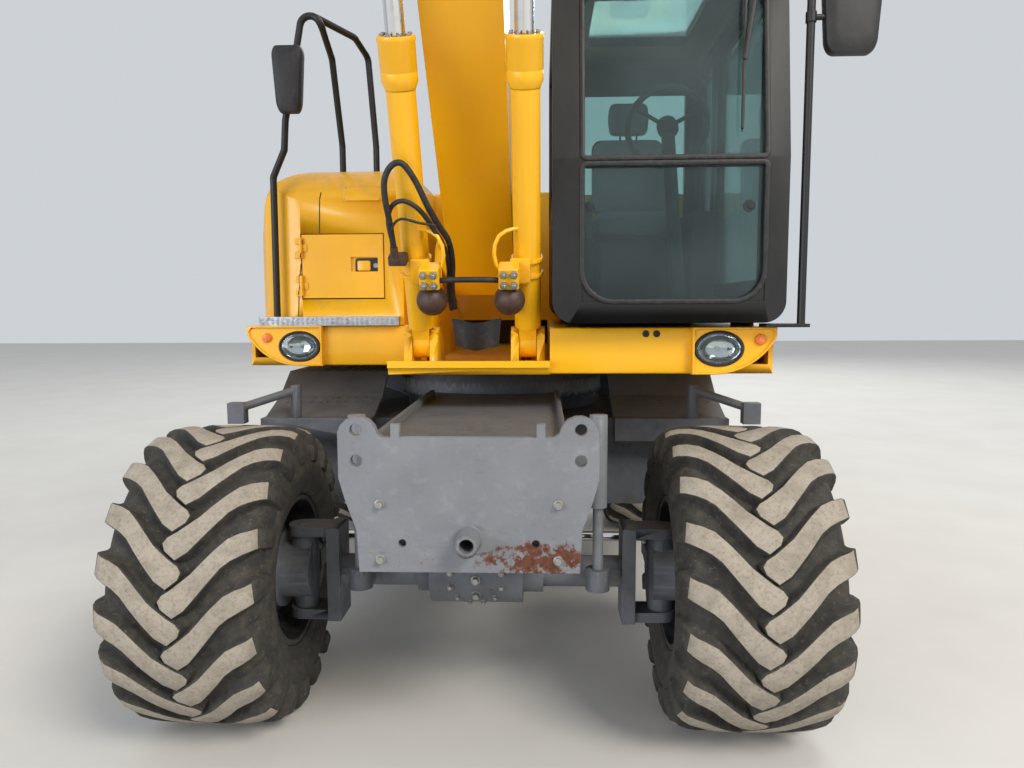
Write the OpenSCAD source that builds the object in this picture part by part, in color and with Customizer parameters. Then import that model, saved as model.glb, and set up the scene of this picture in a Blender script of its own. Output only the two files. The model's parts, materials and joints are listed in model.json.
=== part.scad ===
// Wheeled excavator with a one-piece boom, in millimetres.
// The ground is Z = 0, the slew centre is X = Y = 0, the front faces -Y and the cab side is +X.

/* [Stance and wheels] */
// Distance between the front and the rear axle
wheelbase = 2750; // [2650:10:2850]
// Distance from the slew centre forward to the front axle
front_axle_fwd = 1549; // [1520:1:1600]
// Distance between the middles of a left and a right tread
track = 2012; // [1990:2:2060]
// Diameter of a tyre over its lugs
tyre_d = 1172; // [1160:2:1190]
// Width of a tyre
tyre_w = 600; // [580:2:610]
// Wall of a tyre
tyre_wall = 30; // [20:1:40]
// Diameter of the rim under the tyre's bead
rim_d = 575; // [565:1:580]
// Width of the rim over its flanges
rim_w = 514; // [500:2:520]
// Height of the rim's flange
flange_h = 11; // [8:1:14]
// Thickness of the rim's barrel and flanges
rim_t = 10; // [8:1:12]
// Radius of a wheel's hub
hub_r = 190; // [180:1:200]
// Radius of a wheel's spindle
spindle_r = 55; // [45:1:65]
// Distance from the middle of the machine to a steering kingpin
kingpin_x = 720; // [710:1:725]
// Radius of a kingpin
kingpin_r = 30; // [25:1:34]

/* [Axles] */
// Radius of an axle beam
beam_r = 62; // [55:1:70]
// Radius of the differential housing
diff_r = 125; // [115:1:135]
// Width of the differential housing
diff_w = 366; // [340:2:380]
// Half height of the gap between the arms of a steering fork
fork_gap = 150; // [145:1:155]
// Thickness of a fork arm
fork_t = 40; // [35:1:45]
// Radius of the drive shaft
shaft_r = 38; // [30:1:45]
// Radius of an axle lock cylinder
lock_r = 34; // [30:1:40]
// Distance from the middle to an axle lock cylinder
lock_x = 458; // [450:1:465]

/* [Chassis] */
// Half width of the chassis frame
frame_half = 330; // [320:1:340]
// Thickness of the frame's plates
frame_t = 22; // [18:1:28]
// Height of the frame's underside
frame_bottom = 780; // [770:1:800]
// Height of the frame's deck, which carries the slew ring
frame_top = 1190; // [1185:1:1195]
// Distance from an axle to the outer face of the mounting plate beyond it
plate_out = 509.5; // [500:0.5:530]
// Thickness of a mounting plate
plate_t = 30; // [25:1:35]
// Radius of a hitch tube
hitch_r = 40; // [36:1:46]
// Radius of the bore in a hitch tube
hitch_bore = 24; // [20:1:28]
// Distance that a hitch tube stands out of its plate
hitch_out = 90; // [70:1:110]
// Outer radius of the slew ring
ring_r = 590; // [570:1:600]
// Height of the slew ring
ring_h = 100; // [95:1:103]
// Distance from the middle to the outer side of a side box
side_box_x = 1150; // [1100:5:1180]
// Height of a side box's top
side_box_top = 1080; // [1060:5:1090]
// Height of the front steps
step_z = 1100; // [1090:1:1110]
// Height of the tread plates beside the slew ring
tread_z = 1296; // [1285:1:1300]

/* [Upper structure] */
// Height of the upper structure's underside
upper_z = 1352; // [1345:1:1360]
// Height of the nose tops and the deck
deck_z = 1555; // [1545:1:1560]
// Half width of the upper structure
upper_half = 1245; // [1220:1:1250]
// Distance from the slew centre forward to the nose on the toolbox side
nose_box_fwd = 743; // [735:1:760]
// Distance from the slew centre forward to the nose on the cab side
nose_cab_fwd = 1260; // [1250:1:1280]
// Tail radius of the counterweight
tail_r = 2200; // [2150:10:2250]
// Distance from the slew centre back to the counterweight
weight_y = 1500; // [1480:5:1520]
// Height of the engine hood and the tank cover
hood_z = 2360; // [2340:5:2400]
// Wall of the body panels and doors
panel_t = 30; // [25:1:35]
// Gap round a door or a lid
door_gap = 6; // [5:0.5:8]
// Radius of the handrails
rail_r = 17; // [15:1:20]

/* [Cab] */
// Inner side of the cab, nearest to the boom
cab_in = 290; // [285:1:300]
// Outer side of the cab
cab_out = 1255; // [1245:1:1260]
// Distance from the slew centre forward to the cab's front
cab_fwd = 1330; // [1320:1:1340]
// Distance from the slew centre back to the cab's rear
cab_back = 450; // [430:1:460]
// Height of the cab's underside
cab_z = 1575; // [1570:1:1580]
// Height of the cab's roof
roof_z = 3150; // [3120:5:3180]
// Thickness of the cab's walls and door
cab_t = 50; // [45:1:60]
// Thickness of the window glass
glass_t = 6; // [5:0.5:8]
// Height of the bar between the upper and the lower front glass
split_z = 2237; // [2200:1:2280]

/* [Boom] */
// Middle of the boom, across the machine
boom_x = -55; // [-60:1:-50]
// Width of the boom
boom_w = 320; // [300:2:330]
// Thickness of the plates of the boom and the dipper
boom_t = 14; // [10:1:20]
// Distance from the slew centre forward to the boom's foot pin
foot_fwd = 520; // [510:1:540]
// Height of the boom's foot pin
foot_z = 1860; // [1850:1:1880]
// Angle of the line from the foot pin to the tip pin above level
boom_angle = 30; // [28:0.5:32]
// Distance from the foot pin to the tip pin
boom_l = 5100; // [5050:10:5150]
// Radius of the main pins
pin_r = 50; // [45:1:55]
// Distance from the boom's middle to the middle of a boom cylinder
cyl_half = 238; // [236:1:240]
// Distance from the slew centre forward to the boom cylinders' lower pins
cyl_fwd = 1093; // [1085:1:1100]
// Height of the boom cylinders' lower pins
cyl_z = 1483; // [1478:1:1490]
// Radius of a boom cylinder's barrel
barrel_r = 58; // [54:1:62]
// Radius of a boom cylinder's rod
rod_r = 37; // [34:1:40]
// Radius of a boom cylinder's gland
gland_r = 70; // [66:1:72]
// Length of a boom cylinder's barrel from its pin to the end of its gland
barrel_l = 1280; // [1250:5:1300]
// Width of a boom or bucket cylinder's eyes
eye_w = 76; // [70:1:80]

/* [Dipper and bucket] */
// Distance from the dipper's foot pin to the bucket pin
dipper_l = 2450; // [2400:10:2500]
// Width of the dipper
dipper_w = 236; // [230:2:238]
// Angle between the boom's line and the dipper
dipper_angle = 72; // [70:0.5:76]
// Length of the dipper's lever, from its foot pin to the cylinder's pin
lever_l = 620; // [600:5:640]
// Radius of the dipper cylinder's barrel
arm_barrel_r = 66; // [60:1:70]
// Radius of the dipper cylinder's rod
arm_rod_r = 42; // [38:1:46]
// Width of the dipper cylinder's eyes
arm_eye_w = 90; // [86:1:94]
// Angle of the bucket's teeth from the dipper's line
bucket_angle = 75; // [72:0.5:78]
// Distance from the bucket pin to the teeth
bucket_r = 1280; // [1250:10:1300]
// Width of the bucket
bucket_w = 960; // [900:10:1000]
// Thickness of the bucket's shell
bucket_t = 22; // [18:1:28]
// Distance between the bucket's two pins
bucket_pins = 400; // [390:1:410]
// Radius of the linkage pins
link_pin_r = 34; // [30:1:38]
// Length of the tipping levers
tip_lever_l = 560; // [550:1:570]
// Length of the tipping link
tip_link_l = 500; // [490:1:510]

/* [Hidden] */
$fn = 48;

// Running clearance of a pin or a rod in its bore, on the radius
fit = 0.05;
// Gap between two seated pieces
seat_gap = 0.3;
// Clearance between a moving piece and its neighbour
clear = 5;
// Door hinges: distance of the pin outside the face, knuckle, pin, knuckle's height and leaf
hinge_out = 11;
hinge_r = 10;
hinge_pin_r = 5;
hinge_h = 34;
hinge_leaf_w = 30;

axle_z = tyre_d / 2;
front_y = -front_axle_fwd;
rear_y = front_y + wheelbase;
wheel_x = track / 2;
front_plate_y = front_y - plate_out;
rear_plate_y = rear_y + plate_out;
hub_in = kingpin_x + 125;
spindle_end = hub_in + 80;
fork_top = fork_gap + fork_t;
// Steering rod, from the middle of the axle
steer_y = 190;
steer_z = 85;
steer_r = 20;
pinion_l = 165;
ring_top = frame_top + ring_h;
foot_y = -foot_fwd;
cyl_y = -cyl_fwd;
yellow = "#f2a90c";
dark_grey = "#3c3f43";
light_grey = "#8d9399";
black = "#1d1e20";

// Solids between two limits on each axis
module box(x0, x1, y0, y1, z0, z1) translate([x0, y0, z0]) cube([x1 - x0, y1 - y0, z1 - z0]);
// An outline of [Y, Z] points carried from x0 to x1
module yz(pts, x0, x1) translate([x0, 0, 0]) rotate([90, 0, 90]) linear_extrude(x1 - x0) polygon(pts);
// An outline of [X, Z] points carried from y0 to y1
module xz(pts, y0, y1) translate([0, y1, 0]) rotate([90, 0, 0]) linear_extrude(y1 - y0) polygon(pts);
// An outline of [X, Y] points carried from z0 to z1
module xy(pts, z0, z1) translate([0, 0, z0]) linear_extrude(z1 - z0) polygon(pts);
module round_x(r, x0, x1, y, z) translate([x0, y, z]) rotate([0, 90, 0]) cylinder(r = r, h = x1 - x0);
module round_y(r, x, y0, y1, z) translate([x, y1, z]) rotate([90, 0, 0]) cylinder(r = r, h = y1 - y0);
module round_z(r, x, y, z0, z1) translate([x, y, z0]) cylinder(r = r, h = z1 - z0);
// A round bar between two points
module bar(p, q, r) {
    v = q - p;
    translate(p) rotate([0, acos(v.z / norm(v)), atan2(v.y, v.x)]) cylinder(r = r, h = norm(v));
}
function unit(v) = v / norm(v);
// How far a bend of radius b at point i takes off the straight runs beside it
function bend_cut(pts, i, b) = i == 0 || i == len(pts) - 1 ? 0
    : b * tan(acos(unit(pts[i] - pts[i - 1]) * unit(pts[i + 1] - pts[i])) / 2);
// A round tube through a list of points, bent to radius b at each of them.
// The straight runs are a little thinner than the bends, and reach a little way into them.
module bent_tube(pts, r, b) {
    last = len(pts) - 2;
    for (i = [0 : last]) {
        d = unit(pts[i + 1] - pts[i]);
        bar(pts[i] + d * (bend_cut(pts, i, b) - (i == 0 ? 0 : 4)),
            pts[i + 1] - d * (bend_cut(pts, i + 1, b) - (i == last ? 0 : 4)), r - 0.4);
    }
    for (i = [1 : len(pts) - 2]) {
        d0 = unit(pts[i] - pts[i - 1]);
        d1 = unit(pts[i + 1] - pts[i]);
        n = unit(d1 - d0 * (d0 * d1));
        c = pts[i] - d0 * bend_cut(pts, i, b) + n * b;
        k = cross(d0, n);
        multmatrix([[-n.x, d0.x, k.x, c.x], [-n.y, d0.y, k.y, c.y], [-n.z, d0.z, k.z, c.z], [0, 0, 0, 1]])
            rotate_extrude(angle = acos(d0 * d1)) translate([b, 0]) circle(r = r);
    }
}
module both_sides() {
    children();
    mirror([1, 0, 0]) children();
}
// A hinge about Z on a face at X = -hinge_out: the door's leaf runs to -Y, the frame's two to +Y
module hinge_leaf(side, z) {
    box(-hinge_out - 1, -hinge_out + 6, min(0, side * hinge_leaf_w), max(0, side * hinge_leaf_w), z,
        z + hinge_h);
    round_z(hinge_r, 0, 0, z, z + hinge_h);
}
module hinge_door(z) {
    hinge_leaf(-1, z);
    round_z(hinge_pin_r, 0, 0, z - hinge_h, z + 2 * hinge_h);
}
module hinge_frame(z) difference() {
    union() {
        hinge_leaf(1, z - hinge_h - seat_gap);
        hinge_leaf(1, z + hinge_h + seat_gap);
    }
    round_z(hinge_pin_r + fit, 0, 0, z - 2 * hinge_h, z + 3 * hinge_h);
}
// Points on an arc of n steps round a centre
function arc(c, r, a0, a1, n = 6) =
    [for (i = [0 : n]) c + r * [cos(a0 + (a1 - a0) * i / n), sin(a0 + (a1 - a0) * i / n)]];

// Chassis

module mount_plate() {
    // Corner holes stand in two lobes above the plate's top edge
    lobe = [375, 1206];
    half = concat([[0, 756], [373, 756], [380, 900], [418, 1010], [437, 1080]],
        arc([370, 1221], 68, -12, 172, 8), [[285, 1218], [0, 1218]]);
    difference() {
        union() {
            both_sides() xz(half, -plate_t, 0);
            round_y(hitch_r, 0, -plate_t - hitch_out, -1, 875);
            round_y(hitch_r + 8, 0, -plate_t - 22, -1, 875);
            both_sides() box(228, 258, -plate_t, 0, 1217, 1262);
        }
        round_y(hitch_bore, 0, -plate_t - hitch_out - 1, 1, 875);
        both_sides() {
            round_y(20, lobe.x, -plate_t - 1, 1, 1243);
            round_y(20, lobe.x, -plate_t - 1, 1, 1139);
            round_y(13.5, 225, -plate_t - 1, 1, 857);
        }
    }
}

module front_plate() {
    color(light_grey) translate([0, front_plate_y + plate_t, 0]) mount_plate();
}

module rear_plate() {
    color(light_grey) translate([0, rear_plate_y - plate_t, 0]) rotate([0, 0, 180]) mount_plate();
}

module chassis_frame() {
    f0 = front_plate_y + plate_t + seat_gap;
    r0 = rear_plate_y - plate_t - seat_gap;
    turret_z = side_box_top + clear;
    side = [[f0, 820], [f0 + 180, frame_bottom], [r0 - 180, frame_bottom], [r0, 820], [r0, frame_top],
        [f0, frame_top]];
    color(dark_grey) {
        both_sides() {
            yz(side, frame_half - frame_t, frame_half);
            // Raised rim of the front deck channel
            box(frame_half - frame_t, frame_half, f0 + 40, -ring_r - 60, frame_top, frame_top + 30);
        }
        inner = frame_half - frame_t;
        box(-inner, inner, f0, r0, frame_top - frame_t, frame_top);
        box(-inner, inner, front_y + 260, rear_y - 260, frame_bottom, frame_bottom + frame_t);
        for (y = [f0, front_y - 200, front_y + 200, rear_y - 200, rear_y + 200, r0 - frame_t])
            box(-inner, inner, y, y + frame_t, 840, frame_top - frame_t);
        // Turret that carries the slew ring
        difference() {
            union() {
                round_z(ring_r - 40, 0, 0, turret_z, frame_top);
                round_z(ring_r, 0, 0, frame_top - 30, frame_top);
            }
            round_z(ring_r - 80, 0, 0, turret_z - 1, frame_top + 1);
            box(-frame_half, frame_half, -ring_r, ring_r, turret_z - 1, frame_top + 1);
        }
        difference() {
            round_z(ring_r - 40, 0, 0, frame_top - 30, frame_top);
            round_z(ring_r - 160, 0, 0, frame_top - 31, frame_top + 1);
        }
        // Saddle over the front axle, with the ears of its pivot
        box(-inner, inner, front_y - 200, front_y + 222, 840, 862);
        for (y = [front_y - 138, front_y + 108]) box(-110, 110, y, y + 30, 680, 860);
        // Carriers of the side boxes
        both_sides() for (y = [-500, 300]) box(frame_half, frame_half + 30, y, y + 120, 820, 960);
    }
}

module slew_ring() {
    color(dark_grey) difference() {
        union() {
            round_z(ring_r, 0, 0, frame_top + seat_gap, ring_top - 40);
            round_z(ring_r - 30, 0, 0, ring_top - 41, ring_top);
        }
        round_z(ring_r - 120, 0, 0, frame_top, ring_top + 1);
    }
}

module fork_end() {
    // Fork that holds a knuckle, on the left side
    difference() {
        union() {
            box(560, 612, -80, 80, -fork_top, fork_top);
            for (s = [-1, 1]) translate([0, 0, s * (fork_gap + fork_t / 2)]) {
                box(600, kingpin_x, -62, 62, -fork_t / 2, fork_t / 2);
                cylinder_at(62, kingpin_x, fork_t);
            }
        }
        round_z(kingpin_r + fit, kingpin_x, 0, -fork_top - 1, fork_top + 1);
    }
}
module cylinder_at(r, x, h) translate([x, 0, -h / 2]) cylinder(r = r, h = h);

module axle_middle() {
    round_x(beam_r, -565, 565, 0, 0);
    round_x(diff_r, -diff_w / 2 - 14, diff_w / 2 - 14, 0, 0);
    both_sides() round_x(beam_r + 22, 150, 250, 0, 0);
}

module front_axle() {
    color(dark_grey) translate([0, front_y, axle_z]) {
        axle_middle();
        both_sides() fork_end();
        // Pivot block between the chassis ears
        box(-90, 90, -108 + seat_gap, 108 - seat_gap, 60, 190);
        // Pads under the lock cylinders
        both_sides() round_z(46, lock_x, -150, -20, 62);
        both_sides() box(lock_x - 40, lock_x + 40, -150, -30, -20, 30);
        // Pinion housing towards the drive shaft
        round_y(80, -14, 0, pinion_l, 0);
        // Steering cylinder's body along the back of the beam
        difference() {
            union() {
                round_x(40, -210, 210, steer_y, steer_z);
                both_sides() box(150, 190, 30, steer_y - 10, 30, steer_z + 20);
            }
            round_x(steer_r + fit, -211, 211, steer_y, steer_z);
        }
    }
}

module knuckle() {
    // Left knuckle about its kingpin
    round_x(spindle_r, hub_in - clear - 1, spindle_end - clear, 0, 0);
    round_x(150, kingpin_x + 80, hub_in - clear, 0, 0);
    round_x(112, kingpin_x - 40, kingpin_x + 81, 0, 0);
    round_z(52, kingpin_x, 0, -fork_gap + 2, fork_gap - 2);
    round_z(kingpin_r, kingpin_x, 0, -fork_top, fork_top);
    // Steering arm
    yz([[60, -30], [steer_y + 40, 10], [steer_y + 40, steer_z - 30], [60, steer_z - 30]], kingpin_x - 45,
        kingpin_x + 5);
}

module knuckle_left() color(dark_grey) translate([0, front_y, axle_z]) knuckle();
module knuckle_right() color(dark_grey) translate([0, front_y, axle_z]) mirror([1, 0, 0]) knuckle();

module steer_rod() {
    color("silver") translate([0, front_y, axle_z]) {
        round_x(steer_r, -kingpin_x + 20, kingpin_x - 20, steer_y, steer_z);
        both_sides() round_z(30, kingpin_x - 20, steer_y, steer_z - 28, steer_z + 26);
    }
}

module axle_locks() {
    color(light_grey) translate([0, front_y - 150, 0]) both_sides() {
        round_z(lock_r, lock_x, 0, 890, 1242);
        round_z(20, lock_x, 0, axle_z + 62 + seat_gap, 891);
        box(frame_half + seat_gap, lock_x - 10, -30, 30, 1050, 1110);
    }
}

module rear_axle() {
    color(dark_grey) translate([0, rear_y, axle_z]) {
        axle_middle();
        both_sides() {
            round_x(112, 560, 790, 0, 0);
            round_x(150, 780, hub_in - clear, 0, 0);
            round_x(spindle_r, hub_in - clear - 1, spindle_end - clear, 0, 0);
            box(240, frame_half, -110, 110, 20, frame_bottom - axle_z - seat_gap);
        }
        // Gearbox and travel motor ahead of the axle
        box(-140, 140, -420, -80, -90, 150);
        round_y(95, 60, -520, -419, 60);
    }
    // Drive shaft between the axles
    color(dark_grey) round_y(shaft_r, -14, front_y + pinion_l + seat_gap, rear_y - 418, axle_z);
}

module side_boxes() {
    x0 = frame_half + seat_gap;
    color(dark_grey) both_sides() {
        difference() {
            box(x0 + 30, side_box_x, -700, 540, 640, side_box_top);
            box(x0 + 50, side_box_x - 20, -680, 520, 660, side_box_top - 20);
        }
        // Tread plates that rise to the ring
        yz([[-850, 990], [-850, step_z], [-770, step_z], [-550, 1180], [-380, tread_z], [300, tread_z],
            [300, side_box_top - 1], [288, side_box_top - 1], [288, tread_z - 12], [-376, tread_z - 12],
            [-540, 1168], [-700, side_box_top + 10], [-690, side_box_top - 1], [-690, 990]], 600, side_box_x);
    }
}

module mudguard_arms() {
    color(dark_grey) both_sides() {
        round_z(26, 980, -810, step_z + seat_gap, 1262);
        bar([980, -810, 1238], [1230, -930, 1160], 20);
        box(1190, 1270, -960, -900, 1090, 1190);
    }
}

// Wheels

module rim_shape() {
    a = rim_w / 2;
    r = rim_d / 2;
    h0 = hub_in - wheel_x;
    h1 = spindle_end - wheel_x;
    rotate([0, 90, 0]) rotate_extrude($fn = 96) polygon([[spindle_r + fit, h0], [hub_r, h0], [hub_r, 40],
        [r - rim_t, 40], [r - rim_t, -a], [r + flange_h, -a], [r + flange_h, -a + rim_t], [r, -a + rim_t],
        [r, a - rim_t], [r + flange_h, a - rim_t], [r + flange_h, a], [r - rim_t, a], [r - rim_t, 54],
        [hub_r, 54], [hub_r, 80], [150, 120], [0, 120], [0, h1], [spindle_r + fit, h1]]);
}

module tyre_shape() {
    // Half section as [radius, distance from the middle], then its mirror image
    r0 = rim_d / 2 + seat_gap;
    a0 = rim_w / 2 - rim_t - seat_gap;
    r1 = tyre_d / 2;
    a1 = tyre_w / 2;
    outer = [[r0, a0], [r0 + flange_h + 3, a0], [r0 + flange_h + 6, a0 + 16], [r0 + 55, a1 - 12],
        [r1 - 156, a1], [r1 - 86, a1 - 3], [r1 - 38, a1 - 20], [r1 - 11, a1 - 65], [r1, a1 - 180]];
    w = tyre_wall;
    inner = [[r1 - w - 4, a1 - 190], [r1 - w - 14, a1 - 90], [r1 - 44 - w, a1 - 20 - w],
        [r1 - 90, a1 - 3 - w], [r1 - 156, a1 - w], [r0 + 60, a0 - 4], [r0, a0 - 36]];
    n = len(outer);
    m = len(inner);
    pts = concat(outer, [for (i = [n - 1 : -1 : 0]) [outer[i].x, -outer[i].y]],
        [for (i = [m - 1 : -1 : 0]) [inner[i].x, -inner[i].y]], inner);
    rotate([0, 90, 0]) rotate_extrude($fn = 96) polygon(pts);
}

module wheel_place(y, side) translate([0, y, axle_z]) mirror([side > 0 ? 0 : 1, 0, 0])
    translate([wheel_x, 0, 0]) children();

module rim_front_left() color("#2c2e31") wheel_place(front_y, 1) rim_shape();
module rim_front_right() color("#2c2e31") wheel_place(front_y, -1) rim_shape();
module rim_rear_left() color("#2c2e31") wheel_place(rear_y, 1) rim_shape();
module rim_rear_right() color("#2c2e31") wheel_place(rear_y, -1) rim_shape();
module tyre_front_left() color(black) wheel_place(front_y, 1) tyre_shape();
module tyre_front_right() color(black) wheel_place(front_y, -1) tyre_shape();
module tyre_rear_left() color(black) wheel_place(rear_y, 1) tyre_shape();
module tyre_rear_right() color(black) wheel_place(rear_y, -1) tyre_shape();

// Upper structure

// Inner ends of the two noses and of the pocket between them
pocket_l = -430;
pocket_r = 280;
nose_d = 60;
ear_in = 203;
ear_t = 40;
lug_in = cyl_half - eye_w / 2 - 2;
lug_out = cyl_half + eye_w / 2 + 2;
lug_t = 35;
cyl_pin_r = 35;
base_t = 40;

module slew_frame() {
    floor_z = upper_z + base_t;
    yb = -nose_box_fwd + nose_d + seat_gap;
    yc = -nose_cab_fwd + nose_d + seat_gap;
    color(yellow) {
        round_z(ring_r - 40, 0, 0, ring_top + 0.5, upper_z + 1);
        xy([[-upper_half, yb], [pocket_l, yb], [pocket_l, yc - 30], [pocket_r, yc - 30], [pocket_r, yc],
            [upper_half, yc], [upper_half, weight_y], [-upper_half, weight_y]], upper_z, floor_z);
        // Side rails and deck plates
        box(-upper_half, -upper_half + 20, yb, weight_y, floor_z, deck_z);
        box(upper_half - 20, upper_half, yc, weight_y, floor_z, deck_z);
        box(-upper_half, pocket_l, yb, 560, deck_z - 15, deck_z);
        box(pocket_r, upper_half, yc, 560, deck_z - 15, deck_z);
        box(pocket_l - 20, pocket_l, yb, 560, floor_z, deck_z);
        box(pocket_r, pocket_r + 20, yc, 560, floor_z, deck_z);
        // Front bar of the pocket
        box(pocket_l, pocket_r, yc - 50, yc - 20, upper_z + 30, floor_z + 20);
        translate([boom_x, 0, 0]) both_sides() {
            // Main plates that hold the boom's foot
            yz(concat([[-960, floor_z - 1], [480, floor_z - 1], [480, 1520], [-120, 1720]],
                arc([foot_y, foot_z], 130, 30, 150, 6), [[-700, 1760], [-960, 1600]]), ear_in, ear_in + ear_t);
            // Lugs of the boom cylinders
            for (x = [lug_in - lug_t, lug_out])
                yz(concat([[cyl_y - 90, floor_z - 1], [-900, floor_z - 1], [-900, 1540]],
                    arc([cyl_y, cyl_z], 75, 60, 170, 5)), x, x + lug_t);
            round_x(cyl_pin_r, lug_in - lug_t, lug_out + lug_t, cyl_y, cyl_z);
        }
        round_x(pin_r, boom_x - ear_in - ear_t - 12, boom_x + ear_in + ear_t + 12, foot_y, foot_z);
    }
}

// Outline of a headlamp as [X, Z] from its middle
lamp_w = 210;
lamp_h = 150;
lamp_d = 45;
module lamp_outline(grow) {
    s = (lamp_w - lamp_h) / 2;
    for (x = [-s, s]) translate([x, 0]) circle(r = lamp_h / 2 + grow);
    square([2 * s, lamp_h + 2 * grow], center = true);
}
module lamp_at(x, y, z, grow, depth) translate([x, y, z]) rotate([90, 0, 0])
    linear_extrude(depth) lamp_outline(grow);

// Middle of each lamp
lamp_box = [-980, 1450];
lamp_cab = [1003, 1463];

module nose(x_out, x_in, fwd) {
    s = sign(x_out);
    w = abs(x_out - x_in);
    o = s * x_out;
    plan = concat([[o - w, -fwd]], arc([o - 70, -fwd + 70], 70, -90, 0, 5), [[o, -fwd + 260], [o - 20, -fwd + 260],
        [o - 20, -fwd + nose_d], [o - w, -fwd + nose_d]]);
    front = concat([[o - w, upper_z], [o - 130, upper_z]], arc([o - 110, upper_z + 110], 110, -80, 0, 5),
        [[o, deck_z], [o - w, deck_z]]);
    mirror([s > 0 ? 0 : 1, 0, 0]) intersection() {
        xy(plan, upper_z, deck_z);
        xz(front, -fwd, -fwd + 261);
    }
}

module front_noses() {
    color(yellow) difference() {
        union() {
            intersection() {
                nose(-upper_half, pocket_l, nose_box_fwd);
                box(-upper_half, pocket_l, -nose_box_fwd, -nose_box_fwd + nose_d, upper_z, deck_z);
            }
            intersection() {
                nose(upper_half, pocket_r, nose_cab_fwd);
                box(pocket_r, upper_half, -nose_cab_fwd, -nose_cab_fwd + nose_d, upper_z, deck_z);
            }
        }
        lamp_at(lamp_box.x, -nose_box_fwd + lamp_d, lamp_box.y, 8, lamp_d + 1);
        lamp_at(lamp_cab.x, -nose_cab_fwd + lamp_d, lamp_cab.y, 8, lamp_d + 1);
    }
}

module headlamps() {
    color("white") {
        lamp_at(lamp_box.x, -nose_box_fwd + lamp_d - seat_gap, lamp_box.y, 0, lamp_d - 5);
        lamp_at(lamp_cab.x, -nose_cab_fwd + lamp_d - seat_gap, lamp_cab.y, 0, lamp_d - 5);
    }
}

strip_z = 1600;
module step_strip() {
    color("silver") box(-upper_half + 65, pocket_l - 40, -nose_box_fwd + 2, -nose_box_fwd + 38, deck_z + seat_gap,
        strip_z);
}

// Door opening of the toolbox
tool_x0 = -968;
tool_x1 = -544;
tool_z0 = 1687;
tool_z1 = 2016;
tool_y = -700;
tool_back = -340;
tool_hinge_z = [tool_z0 + 50, tool_z1 - 90];

module tank_cover() {
    z0 = deck_z + seat_gap;
    y1 = body_y0 - seat_gap;
    side = concat([[tool_y, z0], [tool_y, 2050]], arc([-420, 2050], 310, 168, 90, 6), [[y1, hood_z], [y1, z0]]);
    front = concat([[-450, z0], [-450, hood_z], [-900, hood_z]], arc([-900, 2060], 300, 90, 160, 6),
        [[-upper_half, 1800], [-upper_half, z0]]);
    plan = concat([[-450, y1], [-450, tool_y], [-960, tool_y]], arc([-965, tool_y + 280], 280, -90, -180, 6),
        [[-upper_half, y1]]);
    color(yellow) tool_hinges() for (z = tool_hinge_z) hinge_frame(z);
    color(yellow) difference() {
        intersection() {
            yz(side, -upper_half, -450);
            xz(front, tool_y, y1);
            xy(plan, z0, hood_z);
        }
        difference() {
            box(-1120, -450 - panel_t, tool_y + 90, y1 - panel_t, z0 + panel_t, hood_z - 90);
            box(tool_x0 - 10, tool_x1 + 10, tool_y, tool_back + 10, tool_z0 - 10, tool_z1 + 10);
        }
        box(tool_x0, tool_x1, tool_y - 1, tool_back, tool_z0, tool_z1);
    }
}

module tool_hinges() translate([tool_x0 + door_gap / 2, tool_y - hinge_out, 0]) rotate([0, 0, -90])
    mirror([0, 1, 0]) children();
module toolbox_door() {
    color(yellow) {
        difference() {
            box(tool_x0 + door_gap, tool_x1 - door_gap, tool_y, tool_y + 25, tool_z0 + door_gap,
                tool_z1 - door_gap);
            box(-715, -578, tool_y - 1, tool_y + 12, 1825, 1897);
        }
        tool_hinges() for (z = tool_hinge_z) hinge_door(z);
    }
}

// Rear body between the cab and the counterweight
body_y0 = 510;
body_y1 = weight_y;
hood_half = 600;
hood_t = 10;
door_y0 = 590;
door_y1 = 1430;
door_z0 = 1600;
door_z1 = 2210;

side_hinge_z = [door_z0 + 90, door_z1 - 120];
hood_hinge_x = [-420, 380];
module side_hinges() translate([upper_half + hinge_out, door_y1 - door_gap / 2, 0]) children();
module hood_hinges() translate([0, body_y0 + panel_t + door_gap / 2, hood_z + hinge_out]) rotate([180, -90, 0])
    children();

module body_panels() {
    w = upper_half;
    outer = concat([[0, deck_z + seat_gap], [w, deck_z + seat_gap]], arc([w - 120, hood_z - 120], 120, 0, 90, 6),
        [[0, hood_z]]);
    t = panel_t;
    inner = concat([[0, deck_z - 1], [w - t, deck_z - 1]], arc([w - 120, hood_z - 120], 120 - t, 0, 90, 6),
        [[0, hood_z - t]]);
    color(yellow) difference() {
        both_sides() xz(outer, body_y0, body_y1);
        both_sides() xz(inner, body_y0 + t, body_y1 + 1);
        box(-hood_half, hood_half, body_y0 + t, body_y1 + 1, hood_z - t - 1, hood_z + 1);
        both_sides() box(w - t - 1, w + 1, door_y0, door_y1, door_z0, door_z1);
    }
    color(yellow) {
        both_sides() side_hinges() for (z = side_hinge_z) hinge_frame(z);
        hood_hinges() for (x = hood_hinge_x) hinge_frame(x);
    }
}

module engine_hood() {
    g = door_gap;
    w = hood_half - g;
    y0 = body_y0 + panel_t + g;
    y1 = body_y1 - g;
    color(yellow) difference() {
        union() {
            box(-w, w, y0, y1, hood_z - panel_t, hood_z);
            box(-400, 400, 800, 1300, hood_z - 1, hood_z + 60);
        }
        box(-w + hood_t, w - hood_t, y0 + hood_t, y1 - hood_t, hood_z - panel_t - 1, hood_z - hood_t);
        box(-400 + hood_t, 400 - hood_t, 800 + hood_t, 1300 - hood_t, hood_z - panel_t, hood_z + 60 - hood_t);
    }
    color(yellow) hood_hinges() for (x = hood_hinge_x) hinge_door(x);
}

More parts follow.
